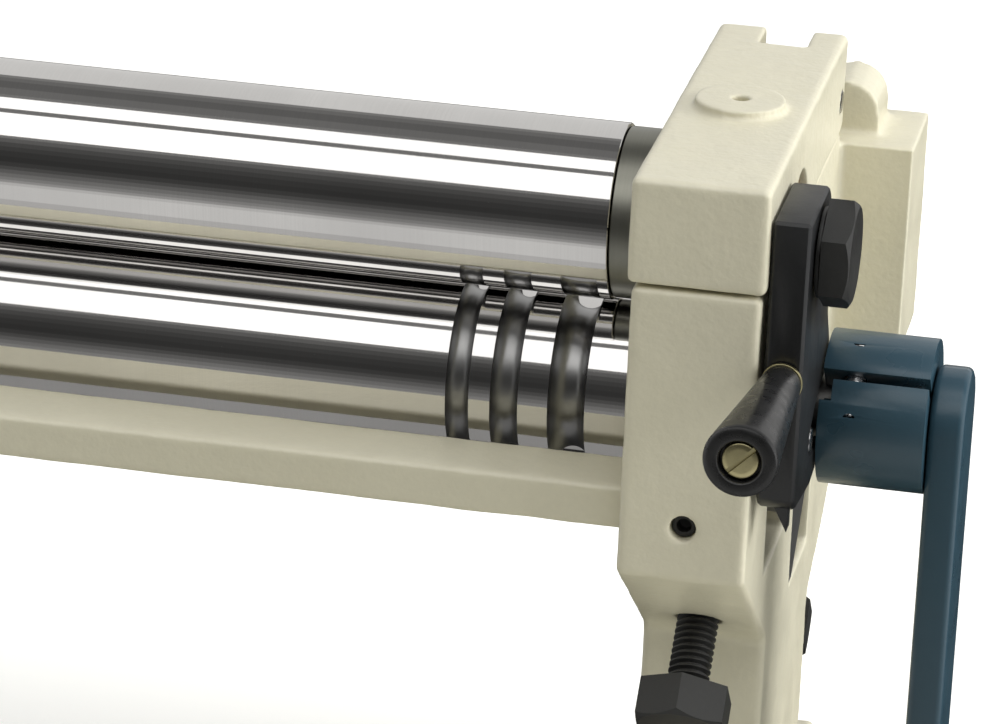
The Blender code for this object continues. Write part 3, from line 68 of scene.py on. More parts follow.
# Sizes in metres, angles and counts of steps
JOURNAL_RADIUS = 0.012
STUB_RADIUS = 0.009
SHAFT_RADIUS = 0.010
END_GAP = 0.0003
ROLL_END_ROUND = 0.0006
GROOVE_SPACES = (0.0168, 0.0359, 0.0500)
GROOVE_WIDTHS = (0.0106, 0.0080, 0.0067)
GROOVE_STEPS = 20
GROOVE_LEAST_DEPTH = 0.00004
ROLL_STEPS = 224
ROUND_STEPS = 96
SCREW_RADIUS = 0.006
SCREW_PITCH = 0.002
THREAD_DEPTH = 0.00115
HEAD_FLATS = 0.0248
HEAD_HEIGHT = 0.012
HEAD_FACE_SHARE = 0.97
HEAD_TURNING = math.radians(30)
SLOT_WIDTH = 0.0012
SLOT_DEPTH = 0.001
SLOT_LENGTH = 0.02
SLOT_TURN = math.radians(45)
END_FLOAT = 0.0006
FACE_START = LEFT_INNER + END_FLOAT
FACE_END = -FRAME_HALF - END_FLOAT
ROLL_FACE = 0.914
PIVOT_SHANK_RADIUS = 0.006
SHANK_OVERLAP = 0.001
CUP_RADIUS_SHARE = 0.62
CUP_POINT_SHARE = 0.7
CUP_FLOOR_SHARE = 0.6
GRIP_YAW = math.radians(2.0)
GRIP_LENGTH = 0.0585
GRIP_BORE_RADIUS = 0.0033
GRIP_BASE_RADIUS = 0.0055
GRIP_END_RADIUS = 0.0102
GRIP_WASHER_THICKNESS = 0.0012
GRIP_WASHER_RADIUS = 0.0057
GRIP_COUNTERBORE_RADIUS = 0.0058
GRIP_COUNTERBORE_DEPTH = 0.0035
GRIP_SCREW_RADIUS = 0.005
GRIP_SCREW_HEIGHT = 0.0022
GRIP_SCREW_SHOULDER_DROP = 0.0003
GRIP_SCREW_CROWN_SHARE = 0.72
GRIP_SCREW_CROWN_RISE = 0.00005
GRIP_SCREW_ROUND = 0.0004
GRIP_STUD_RADIUS = 0.003
GRIP_STUD_START = 0.010
GRIP_STUD_OVERLAP = 0.0005
GRIP_CORNER_ROUNDS = (0, 0.0008, 0.0022, 0.0009, 0.0003, 0)
GRIP_CORNER_STEPS = 4
GRIP_CORNER_REACH_SHARE = 0.48
CRANK_GRIP_WAIST = 0.0105
CRANK_GRIP_BORE = 0.0053
CRANK_GRIP_EDGE = 0.0015
CRANK_GRIP_LIP = 0.003
CRANK_GRIP_STEPS = 24
CLAMP_SCREW_LENGTH = 0.022
CLAMP_SCREW_RADIUS = 0.003
CLAMP_SCREW_PITCH = 0.001
CLAMP_THREAD_DEPTH = 0.0005
CLAMP_SCREW_TURN = math.radians(45)
CLAMP_THREAD_STEPS = 32
THREAD_STEPS = 48
THREAD_SHARES = ((0.0, 0.0), (0.10, 0.0), (0.44, 1.0), (0.66, 1.0))
HEAD_STEPS = 120

# Meshes: what is welded, flattened, rounded or shaded sharp
WELD_DISTANCE = 0.000002
THREAD_WELD_DISTANCE = 0.000001
FLAT_ANGLE = math.radians(0.6)
SHARP_DEGREES = 30
SKIN_SHARP_DEGREES = 60
THREAD_SHARP_DEGREES = 40
HEAD_SHARP_DEGREES = 12
STRAIGHT_ANGLE = 0.05
TINY_LENGTH = 1e-7
CORNER_STEPS = 3
CORNER_REACH_SHARE = 0.45

# Widths of rounded edges, in metres
TURNED_EDGE = 0.0003
COLLAR_EDGE = 0.0005
SHANK_EDGE = 0.0005
GRIP_WASHER_EDGE = 0.0002
LEVER_EDGE = 0.00025
CRANK_ARM_EDGE = 0.0008
CRANK_FITTING_EDGE = 0.0004
COVER_EDGE = 0.0006
COVER_SCREW_EDGE = 0.0004
PIN_EDGE = 0.0003
RETAINING_RING_EDGE = 0.0002
BUSH_EDGE = 0.0003
BLOCK_EDGE = 0.0016
GEAR_EDGE = 0.0003

# The castings' skin, then each casting's cell size, smoothing rounds and unevenness in metres
SOFTENING = 0.5
WAVE_SCALE = 70
GRAIN_SCALE = 310
GRAIN_SHARE = 0.3
INWARD_SHARE = 0.9
CASTINGS = (
    ("right_frame", 0.0009, 3, 0.0002),
    ("right_cap", 0.0007, 3, 0.00018),
    ("left_frame", 0.0012, 2, 0.0002),
    ("front_tie_bar", 0.0011, 3, 0.0002),
    ("rear_tie_bar", 0.0012, 3, 0.0002),
)

# How the grain of a metal is stretched: the larger a number, the finer the grain along that axis
GROUND_LINES = (2600, 6, 6)
TURNED_LINES = (1500, 8, 8)
BUSH_LINES = (1500, 12, 12)
CUT_LINES = (700, 90, 700)
EVEN_GRAIN = (900, 900, 900)
CREAM_COLOUR = (0.73, 0.69, 0.52)

# The studio: glowing cards go from one elevation to the next with the strength of the first
FLOOR_REACH = 12
FLOOR_COLOUR = (0.77, 0.76, 0.69)
FLOOR_GLOW = 0.55
WORLD_FILL = 0.20
LAMP_TINT = (0.95, 0.96, 1.0)
CARD_COLOUR = (1, 0.99, 0.97)
CARD_DISTANCE = 3.0
CARD_REACH = 4.0
CARD_STEP_DEGREES = 8
CARD_EDGES = (
    (-95, 0.30), (-66, 0.50), (-54, 0.64), (-32.5, 0.54), (-28.5, 0.33), (-25, 0.24), (-21, 0.18),
    (-16, 0.125), (-11, 0.080), (-6.5, 0.050), (-1, 0.036), (6, 0.042), (13, 0.055), (18.5, 0.075),
    (24, 0.12), (29, 0.20), (32.5, 1.5), (62.5, 0.19), (68.5, 1.5), (84.5, 0.21), (89, 0.165),
    (100, 0.125), (112, 0.16), (119, 0.22), (124, 0.70), (185, 0.02), (265, 0.02),
)

# Each lamp's name, place, target, size in metres and power in watts
LAMPS = (
    ("top_lamp", (0.2, -0.2, 2.0), (-0.2, 0.0, 0.15), (2.6, 1.6), 30),
    ("right_lamp", (2.3, 0.1, 0.9), (0, 0, 0.12), (2.2, 1.5), 62),
)

# The camera
CAMERA_TURN = math.radians(10.83)
CAMERA_CLIMB = math.radians(21.23)
CAMERA_ROLL = math.radians(2.455)
CAMERA_PLACE = (0.1856, -1.3061, 0.6922)
SENSOR_WIDTH = 36
PICTURE_WIDTH = 999
FOCAL_PIXELS = 5000


def along(start, direction):
    """The matrix that stands local +Z along a direction at a place."""
    turn = Vector(direction).normalized().to_track_quat("Z", "Y").to_matrix().to_4x4()
    return Matrix.Translation(Vector(start)) @ turn


def add_mesh(name, bm, angle=SHARP_DEGREES):
    """Turn a bmesh into an object that is smooth where its faces turn gently."""
    bmesh.ops.recalc_face_normals(bm, faces=bm.faces)
    mesh = bpy.data.meshes.new(name)
    bm.to_mesh(mesh)
    bm.free()
    mesh.shade_smooth()
    mesh.set_sharp_from_angle(angle=math.radians(angle))
    piece = bpy.data.objects.new(name, mesh)
    bpy.context.scene.collection.objects.link(piece)
    return piece


def evaluated(piece, angle=SHARP_DEGREES):
    """Apply a piece's modifiers to its mesh."""
    bpy.context.view_layer.update()
    shape = piece.evaluated_get(bpy.context.evaluated_depsgraph_get())
    mesh = bpy.data.meshes.new_from_object(shape)
    piece.modifiers.clear()
    piece.data = mesh
    mesh.shade_smooth()
    mesh.set_sharp_from_angle(angle=math.radians(angle))
    return piece


def dress(piece, finish, *nodes, body=None):
    """Give a piece its material, its body and the solids that it stands for."""
    slot, material = finish
    if not piece.data.materials:
        piece.data.materials.append(material)
    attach(piece, body or BODY_OF[nodes[0]])
    if nodes:
        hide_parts(*nodes)


def rounded(points, radius):
    """A line of points with its inner corners rounded."""
    line = [Vector(point) for point in points]
    made = [line[0]]
    for before, here, after in zip(line, line[1:], line[2:]):
        back, ahead = before - here, after - here
        reach = min(radius, back.length * CORNER_REACH_SHARE, ahead.length * CORNER_REACH_SHARE)
        if reach < TINY_LENGTH or abs(back.angle(ahead) - math.pi) < STRAIGHT_ANGLE:
            made.append(here)
            continue
        first, last = here + back.normalized() * reach, here + ahead.normalized() * reach
        for step in range(CORNER_STEPS + 1):
            share = step / CORNER_STEPS
            made.append(first.lerp(here, share).lerp(here.lerp(last, share), share))
    made.append(line[-1])
    return made


def lathe(name, profile, start, direction, steps=ROUND_STEPS, closed=False):
    """A turned piece from (radius, height) points, low end first."""
    bm = bmesh.new()
    place = along(start, direction)
    rings = []
    for radius, height in profile:
        if radius < TINY_LENGTH:
            rings.append([bm.verts.new(place @ Vector((0, 0, height)))])
            continue
        rings.append([
            bm.verts.new(place @ Vector((
                radius * math.cos(2 * math.pi * step / steps),
                radius * math.sin(2 * math.pi * step / steps),
                height,
            )))
            for step in range(steps)
        ])
    pairs = list(zip(rings, rings[1:]))
    if closed:
        pairs.append((rings[-1], rings[0]))
    for low, high in pairs:
        for step in range(steps):
            after = (step + 1) % steps
            corners = [
                low[step % len(low)], low[after % len(low)], high[after % len(high)], high[step % len(high)],
            ]
            unique = list(dict.fromkeys(corners))
            if len(unique) > 2:
                bm.faces.new(unique)
    return add_mesh(name, bm)


def ring(name, inner, outer, height, start, direction, edge=TURNED_EDGE, steps=ROUND_STEPS):
    """A plain ring with rounded edges."""
    section = [(inner, 0), (outer, 0), (outer, height), (inner, height)]
    return lathe(name, rounded_loop(section, edge), start, direction, steps, closed=True)


def rounded_loop(points, radius):
    """A closed line of points with all its corners rounded."""
    looped = [points[-1]] + list(points) + [points[0]]
    return rounded(looped, radius)[1:-1]


def cad_copy(name, node):
    """A copy of a CAD solid's mesh, welded, with its flat faces whole again."""
    bm = bmesh.new()
    bm.from_mesh(NODES[node].data)
    bmesh.ops.remove_doubles(bm, verts=bm.verts, dist=WELD_DISTANCE)
    bmesh.ops.dissolve_limit(bm, angle_limit=FLAT_ANGLE, verts=bm.verts, edges=bm.edges)
    return add_mesh(name, bm)


def edged(node, finish, width, segments=2):
    """A CAD solid with fine rounded edges."""
    piece = cad_copy(node + "_finished", node)
    bevel = piece.modifiers.new("edges", "BEVEL")
    bevel.width = width
    bevel.segments = segments
    bevel.limit_method = "ANGLE"
    bevel.angle_limit = math.radians(SHARP_DEGREES)
    bevel.use_clamp_overlap = True
    evaluated(piece)
    dress(piece, finish, node)


def casting(node, finish, cell, rounds, rough):
    """A CAD solid as a painted casting: soft edges and a slightly uneven skin."""
    piece = cad_copy(node + "_casting", node)
    remesh = piece.modifiers.new("cells", "REMESH")
    remesh.mode = "VOXEL"
    remesh.voxel_size = cell
    smooth = piece.modifiers.new("soften", "SMOOTH")
    smooth.factor = SOFTENING
    smooth.iterations = rounds
    evaluated(piece, SKIN_SHARP_DEGREES)
    box_low, box_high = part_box(node)
    moved = []
    for vertex in piece.data.vertices:
        here = vertex.co.copy()
        wave, grain = noise.noise(here * WAVE_SCALE), noise.noise(here * GRAIN_SCALE)
        there = here + vertex.normal * ((wave + grain * GRAIN_SHARE - INWARD_SHARE) * rough)
        moved.extend(min(max(part, low), high) for part, low, high in zip(there, box_low, box_high))
    piece.data.vertices.foreach_set("co", moved)
    piece.data.update()
    dress(piece, finish, node)


# Materials


def new_material(name):
    """A Principled material and its nodes."""
    made = bpy.data.materials.new(name)
    made.use_nodes = True
    nodes = made.node_tree.nodes
    return made, made.node_tree, nodes["Principled BSDF"]


def coordinates(tree, scale):
    """Object coordinates stretched by a scale."""
    source = tree.nodes.new("ShaderNodeTexCoord")
    mapping = tree.nodes.new("ShaderNodeMapping")
    mapping.inputs["Scale"].default_value = scale
    tree.links.new(source.outputs["Object"], mapping.inputs["Vector"])
    return mapping.outputs["Vector"]


def noise_value(tree, scale, detail=3.0, stretch=(1, 1, 1), roughness=0.5):
    """A noise value in object space."""
    made = tree.nodes.new("ShaderNodeTexNoise")
    made.inputs["Scale"].default_value = scale
    made.inputs["Detail"].default_value = detail
    made.inputs["Roughness"].default_value = roughness
    tree.links.new(coordinates(tree, stretch), made.inputs["Vector"])
    return made.outputs["Fac"]


def spread(tree, value, low, high, start=0.3, end=0.7):
    """Map a value from start..end to low..high."""
    made = tree.nodes.new("ShaderNodeMapRange")
    made.inputs["From Min"].default_value = start
    made.inputs["From Max"].default_value = end
    made.inputs["To Min"].default_value = low
    made.inputs["To Max"].default_value = high
    tree.links.new(value, made.inputs["Value"])
    return made.outputs["Result"]


def mixed(tree, share, first, second):
    """A colour between two colours or sockets."""
    made = tree.nodes.new("ShaderNodeMix")
    made.data_type = "RGBA"
    tree.links.new(share, made.inputs["Factor"])
    for socket, value in zip((made.inputs[6], made.inputs[7]), (first, second)):
        if isinstance(value, tuple):
            socket.default_value = (*value, 1)
        else:
            tree.links.new(value, socket)
    return made.outputs[2]


def bumped(tree, shader, layers):
    """Chain bumps of (value, depth in metres) into a shader's normal."""
    normal = None
    for value, depth in layers:
        made = tree.nodes.new("ShaderNodeBump")
        made.inputs["Distance"].default_value = depth
        tree.links.new(value, made.inputs["Height"])
        if normal is not None:
            tree.links.new(normal, made.inputs["Normal"])
        normal = made.outputs["Normal"]
    tree.links.new(normal, shader.inputs["Normal"])


def paint(name, colour, shade, roughness, skin):
    """Brushed or sprayed paint over a casting."""
    made, tree, shader = new_material(name)
    link = tree.links.new
    patch = spread(tree, noise_value(tree, 14, 4), 0, 1)
    fine = spread(tree, noise_value(tree, 420, 2), 0, 1, 0.25, 0.75)
    tone = mixed(tree, patch, colour, shade)
    darker = tuple(part * 0.9 for part in colour)
    tone = mixed(tree, spread(tree, fine, 0, 0.35, 0, 1), tone, darker)
    link(tone, shader.inputs["Base Color"])
    gloss = spread(tree, noise_value(tree, 60, 3), roughness - 0.05, roughness + 0.1)
    link(gloss, shader.inputs["Roughness"])
    shader.inputs["Coat Weight"].default_value = 0.12
    shader.inputs["Coat Roughness"].default_value = 0.2
    layers = [(noise_value(tree, 650, 2), skin), (noise_value(tree, 160, 3), skin * 2.2)]
    bumped(tree, shader, layers)
    return made


def metal(name, colour, roughness, stretch, line_depth, spots=0.0, metallic=1.0):
    """Turned, ground or sawn metal whose fine lines follow a stretch."""
    made, tree, shader = new_material(name)
    link = tree.links.new
    lines = noise_value(tree, 1, 4, stretch, 0.6)
    cloud = noise_value(tree, 22, 4)
    darker = tuple(part * (0.86 - spots * 0.4) for part in colour)
    tone = mixed(tree, spread(tree, cloud, 0, 1, 0.35, 0.75), colour, darker)
    tone = mixed(tree, spread(tree, lines, 0, 0.4), tone, darker)
    link(tone, shader.inputs["Base Color"])
    link(spread(tree, cloud, roughness * 0.8, roughness * 1.35, 0.3, 0.75), shader.inputs["Roughness"])
    shader.inputs["Metallic"].default_value = metallic
    bumped(tree, shader, [(lines, line_depth)])
    return made


def oxide(name, colour, roughness, skin):
    """Blackened steel with a faintly uneven satin skin."""
    made, tree, shader = new_material(name)
    link = tree.links.new
    cloud = noise_value(tree, 45, 4)
    grain = noise_value(tree, 900, 3)
    lighter = tuple(part * 1.9 for part in colour)
    tone = mixed(tree, spread(tree, cloud, 0, 0.5, 0.35, 0.8), colour, lighter)
    tone = mixed(tree, spread(tree, grain, 0, 0.3, 0.5, 0.8), tone, lighter)
    link(tone, shader.inputs["Base Color"])
    link(spread(tree, cloud, roughness * 0.85, roughness * 1.25), shader.inputs["Roughness"])
    shader.inputs["Specular IOR Level"].default_value = 0.55
    bumped(tree, shader, [(grain, skin), (noise_value(tree, 240, 2), skin * 1.5)])
    return made


def moulding(name, colour, roughness):
    """Glossy moulded plastic with the faint waviness of a moulded skin."""
    made, tree, shader = new_material(name)
    link = tree.links.new
    cloud = noise_value(tree, 90, 3)
    tone = mixed(tree, spread(tree, cloud, 0, 1), colour, tuple(part * 1.5 for part in colour))
    link(tone, shader.inputs["Base Color"])
    gloss = spread(tree, noise_value(tree, 300, 4), roughness * 0.8, roughness * 1.4)
    link(gloss, shader.inputs["Roughness"])
    bumped(tree, shader, [(noise_value(tree, 120, 2), 0.00002), (noise_value(tree, 1500, 2), 0.000003)])
    return made


CREAM = ("cream_paint", paint("cream_paint", CREAM_COLOUR, (0.71, 0.667, 0.495), 0.34, 0.00012))
SMOOTH_CREAM = ("cream_paint", paint("smooth_cream_paint", CREAM_COLOUR, (0.71, 0.667, 0.50), 0.34, 0.00006))
ROLL_STEEL = ("roll_steel", metal("roll_steel", (0.80, 0.79, 0.78), 0.055, GROUND_LINES, 0.0000025))
GROOVE_STEEL = metal("groove_steel", (0.37, 0.37, 0.37), 0.28, TURNED_LINES, 0.00001)
SHAFT_STEEL = metal("shaft_steel", (0.16, 0.16, 0.155), 0.42, TURNED_LINES, 0.00002, 0.2)
PLAIN_STEEL = ("plain_steel", metal("plain_steel", (0.60, 0.60, 0.61), 0.22, TURNED_LINES, 0.00001))
# Painted shade: the collar's dark olive colour stands in for the shade in the narrow gap between the roll's end
# and the cap.
COLLAR_PAINTED_SHADE_STEEL = ("dark_steel", metal("dark_steel", (0.30, 0.30, 0.26), 0.34, TURNED_LINES, 0.00002, 0.2))
BLACK = ("black_oxide", oxide("black_oxide", (0.010, 0.0105, 0.011), 0.40, 0.00003))
BLACK_FASTENER = ("black_oxide", oxide("black_fastener", (0.018, 0.018, 0.0165), 0.46, 0.00003))
PLASTIC = ("black_plastic", moulding("black_plastic", (0.012, 0.012, 0.012), 0.28))
BRASS = ("brass", metal("brass", (0.72, 0.65, 0.36), 0.30, EVEN_GRAIN, 0.00002, 0.3))
BRONZE = ("bronze", metal("bronze", (0.56, 0.38, 0.18), 0.34, BUSH_LINES, 0.00001, 0.3))
IRON = ("grey_iron", metal("grey_iron", (0.34, 0.34, 0.34), 0.38, CUT_LINES, 0.00002, 0.2, 0.9))
BLUE = ("blue_paint", paint("blue_paint", (0.028, 0.066, 0.090), (0.025, 0.060, 0.082), 0.30, 0.00004))
ZINC = ("zinc", metal("zinc", (0.76, 0.77, 0.78), 0.20, EVEN_GRAIN, 0.00001, 0.1))


# Rolls


def stepped(points, edge):
    """A shaft's (radius, x) points, closed at both ends and with rounded shoulders."""
    line = [(0, points[0][1])] + points + [(0, points[-1][1])]
    return rounded(line, edge)


def make_upper_roll():
    """The polished upper roll and its collar, whose dark olive colour is painted shade."""
    face_low = COLLAR_LOW.x - END_GAP - ROLL_FACE
    upper = [
        (STUB_RADIUS, UPPER_LOW.x), (STUB_RADIUS, LEFT_LOW_FACE), (JOURNAL_RADIUS, LEFT_LOW_FACE),
        (JOURNAL_RADIUS, face_low), (ROLL_RADIUS, face_low), (ROLL_RADIUS, face_low + ROLL_FACE),
        (JOURNAL_RADIUS, face_low + ROLL_FACE), (JOURNAL_RADIUS, UPPER_HIGH.x),
    ]
    piece = lathe(
        "upper_roll_polished", stepped(upper, ROLL_END_ROUND), (0, 0, UPPER_Z), (1, 0, 0), ROLL_STEPS
    )
    dress(piece, ROLL_STEEL, "upper_roll")
    piece = ring(
        "upper_roll_collar_turned", JOURNAL_RADIUS + END_GAP, (COLLAR_HIGH.z - COLLAR_LOW.z) / 2,
        COLLAR_HIGH.x - COLLAR_LOW.x, (COLLAR_LOW.x, 0, UPPER_Z), (1, 0, 0), COLLAR_EDGE, ROLL_STEPS,
    )
    dress(piece, COLLAR_PAINTED_SHADE_STEEL, "upper_roll_collar")


def groove_points():
    """The (radius, x) points of the half-round wire grooves, from left to right."""
    points = []
    for space, width in sorted(zip(GROOVE_SPACES, GROOVE_WIDTHS), reverse=True):
        middle = -FRAME_HALF - space - width / 2
        radius = width / 2
        for step in range(GROOVE_STEPS + 1):
            turn = math.pi * step / GROOVE_STEPS
            points.append((ROLL_RADIUS - radius * math.sin(turn), middle - radius * math.cos(turn)))
    return points


def make_lower_roll():
    """The polished lower roll with its wire grooves and the crank's darker shaft."""
    grooves = groove_points()
    lower = rounded(
        [
            (0, LOWER_LOW.x), (STUB_RADIUS, LOWER_LOW.x), (STUB_RADIUS, LEFT_LOW_FACE),
            (JOURNAL_RADIUS, LEFT_LOW_FACE), (JOURNAL_RADIUS, FACE_START), (ROLL_RADIUS, FACE_START),
            grooves[0],
        ],
        ROLL_END_ROUND,
    )
    lower += grooves[1:-1]
    lower += rounded(
        [
            grooves[-1], (ROLL_RADIUS, FACE_END), (JOURNAL_RADIUS, FACE_END),
            (JOURNAL_RADIUS, FRAME_HALF), (SHAFT_RADIUS, FRAME_HALF), (SHAFT_RADIUS, LOWER_HIGH.x),
            (0, LOWER_HIGH.x),
        ],
        ROLL_END_ROUND,
    )
    piece = lathe("lower_roll_polished", lower, (0, 0, LOWER_Z), (1, 0, 0), ROLL_STEPS)
    piece.data.materials.append(ROLL_STEEL[1])
    piece.data.materials.append(GROOVE_STEEL)
    piece.data.materials.append(SHAFT_STEEL)
    first, last = grooves[0][1], grooves[-1][1]
    for face in piece.data.polygons:
        middle = face.center
        reach = math.hypot(middle.y, middle.z - LOWER_Z)
        if first < middle.x < last and reach < ROLL_RADIUS - GROOVE_LEAST_DEPTH:
            face.material_index = 1
        if middle.x > -FRAME_HALF:
            face.material_index = 2
    dress(piece, ROLL_STEEL, "lower_roll")


def make_rear_roll():
    """The polished rear bending roll."""
    rear = [
        (JOURNAL_RADIUS, REAR_LOW.x), (JOURNAL_RADIUS, FACE_START), (ROLL_RADIUS, FACE_START),
        (ROLL_RADIUS, FACE_END), (JOURNAL_RADIUS, FACE_END), (JOURNAL_RADIUS, REAR_HIGH.x),
    ]
    piece = lathe(
        "rear_roll_polished", stepped(rear, ROLL_END_ROUND), (0, REAR_Y, REAR_Z), (1, 0, 0), ROLL_STEPS
    )
    dress(piece, ROLL_STEEL, "rear_roll")


# Fasteners


def threaded_rod(name, start, direction, length, radius, pitch, depth, steps=THREAD_STEPS):
    """A rod with a real helical thread, closed at both ends."""
    bm = bmesh.new()
    place = along(start, direction)
    turns = int(length / pitch) + 2
    rows = []
    for count in range(turns * steps + 1):
        turn = 2 * math.pi * (count % steps) / steps
        row = []
        for height_share, radius_share in THREAD_SHARES:
            height = (count / steps - 1 + height_share) * pitch
            reach = radius - depth * (1 - radius_share)
            height = min(max(height, 0.0), length)
            corner = Vector((reach * math.cos(turn), reach * math.sin(turn), height))
            row.append(bm.verts.new(place @ corner))
        rows.append(row)
    size = len(THREAD_SHARES)
    for count in range(turns * steps):
        here, after = rows[count], rows[count + 1]
        for part in range(size - 1):
            bm.faces.new((here[part], after[part], after[part + 1], here[part + 1]))
        if count + steps + 1 <= turns * steps:
            above, above_after = rows[count + steps], rows[count + steps + 1]
            bm.faces.new((here[-1], after[-1], above_after[0], above[0]))
    bmesh.ops.remove_doubles(bm, verts=bm.verts, dist=THREAD_WELD_DISTANCE)
    bmesh.ops.dissolve_degenerate(bm, dist=THREAD_WELD_DISTANCE, edges=bm.edges)
    bmesh.ops.holes_fill(bm, edges=[edge for edge in bm.edges if edge.is_boundary], sides=0)
    return add_mesh(name, bm, THREAD_SHARP_DEGREES)


def hex_head(name, start, direction, height, flats):
    """A hexagonal head whose outer corners are turned to 30 degrees."""
    bm = bmesh.new()
    place = along(start, direction)
    face = flats / 2 * HEAD_FACE_SHARE
    rows = [[], [], []]
    for step in range(HEAD_STEPS):
        turn = 2 * math.pi * step / HEAD_STEPS
        reach = flats / 2 / math.cos((turn + math.pi / 6) % (math.pi / 3) - math.pi / 6)
        turned = height - (reach - face) * math.tan(HEAD_TURNING)
        for row, radius, level in zip(rows, (reach, reach, face), (0, turned, height)):
            corner = Vector((radius * math.cos(turn), radius * math.sin(turn), level))
            row.append(bm.verts.new(place @ corner))
    for low, high in zip(rows, rows[1:]):
        for step in range(HEAD_STEPS):
            after = (step + 1) % HEAD_STEPS
            bm.faces.new((low[step], low[after], high[after], high[step]))
    bm.faces.new(rows[0])
    bm.faces.new(rows[-1])
    return add_mesh(name, bm, HEAD_SHARP_DEGREES)


def make_adjusting_screws():
    """The four adjusting screws with real threads and turned hexagon heads."""
    for end, way in (("front", -1), ("rear", 1)):
        for side in ("right", "left"):
            node = f"{end}_{side}_adjusting_screw"
            low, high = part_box(node)
            outward = Vector((0, way, -1)).normalized()
            x = (low.x + high.x) / 2
            corner = Vector((0, way, 1)) * HEAD_FLATS / math.sqrt(6)
            far = Vector((x, high.y if way > 0 else low.y, low.z))
            head_end = far - Vector((0, corner.y, -corner.z))
            head_start = head_end - outward * HEAD_HEIGHT
            tip_edge = Vector((x, low.y if way > 0 else high.y, high.z))
            reach = SCREW_RADIUS / math.sqrt(2)
            tip = tip_edge + Vector((0, way * reach, -reach))
            length = (head_start - tip).length
            rod = threaded_rod(
                node + "_thread", tip, outward, length + HEAD_HEIGHT / 3,
                SCREW_RADIUS, SCREW_PITCH, THREAD_DEPTH,
            )
            dress(rod, BLACK_FASTENER, node)
            head = hex_head(node + "_head", head_start, outward, HEAD_HEIGHT, HEAD_FLATS)
            dress(head, BLACK_FASTENER, node)


def make_pivot_bolt():
    """The release lever's bolt and its washer."""
    low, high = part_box("lever_pivot_bolt")
    washer_low, washer_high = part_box("lever_washer")
    y, z = (low.y + high.y) / 2, (low.z + high.z) / 2
    flats = high.y - low.y
    head_start = washer_high.x + END_GAP
    head = hex_head("pivot_bolt_head", (head_start, y, z), (1, 0, 0), high.x - head_start, flats)
    dress(head, BLACK_FASTENER, "lever_pivot_bolt")
    radius, end = PIVOT_SHANK_RADIUS, head_start + SHANK_OVERLAP
    shank = rounded([(0, low.x), (radius, low.x), (radius, end), (0, end)], SHANK_EDGE)
    piece = lathe("pivot_bolt_shank", shank, (0, y, z), (1, 0, 0))
    dress(piece, BLACK_FASTENER, "lever_pivot_bolt")
    outer = (washer_high.z - washer_low.z) / 2
    piece = ring(
        "pivot_washer", radius + END_GAP, outer, washer_high.x - washer_low.x, (washer_low.x, y, z), (1, 0, 0)
    )
    dress(piece, BLACK_FASTENER, "lever_washer")


def make_grub_screw(node):
    """A tie bar's grub screw with a cup at its outer end."""
    low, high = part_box(node)
    radius = (high.z - low.z) / 2
    place = ((low.x + high.x) / 2, low.y, (low.z + high.z) / 2)
    length = high.y - low.y
    cup = radius * CUP_RADIUS_SHARE
    line = [
        (0, length * CUP_POINT_SHARE), (cup, length * CUP_FLOOR_SHARE), (cup, 0), (radius, 0),
        (radius, length), (0, length),
    ]
    piece = lathe(node + "_cupped", rounded(line, TURNED_EDGE), place, (0, 1, 0))
    dress(piece, BLACK_FASTENER, node)


# Grips and crank


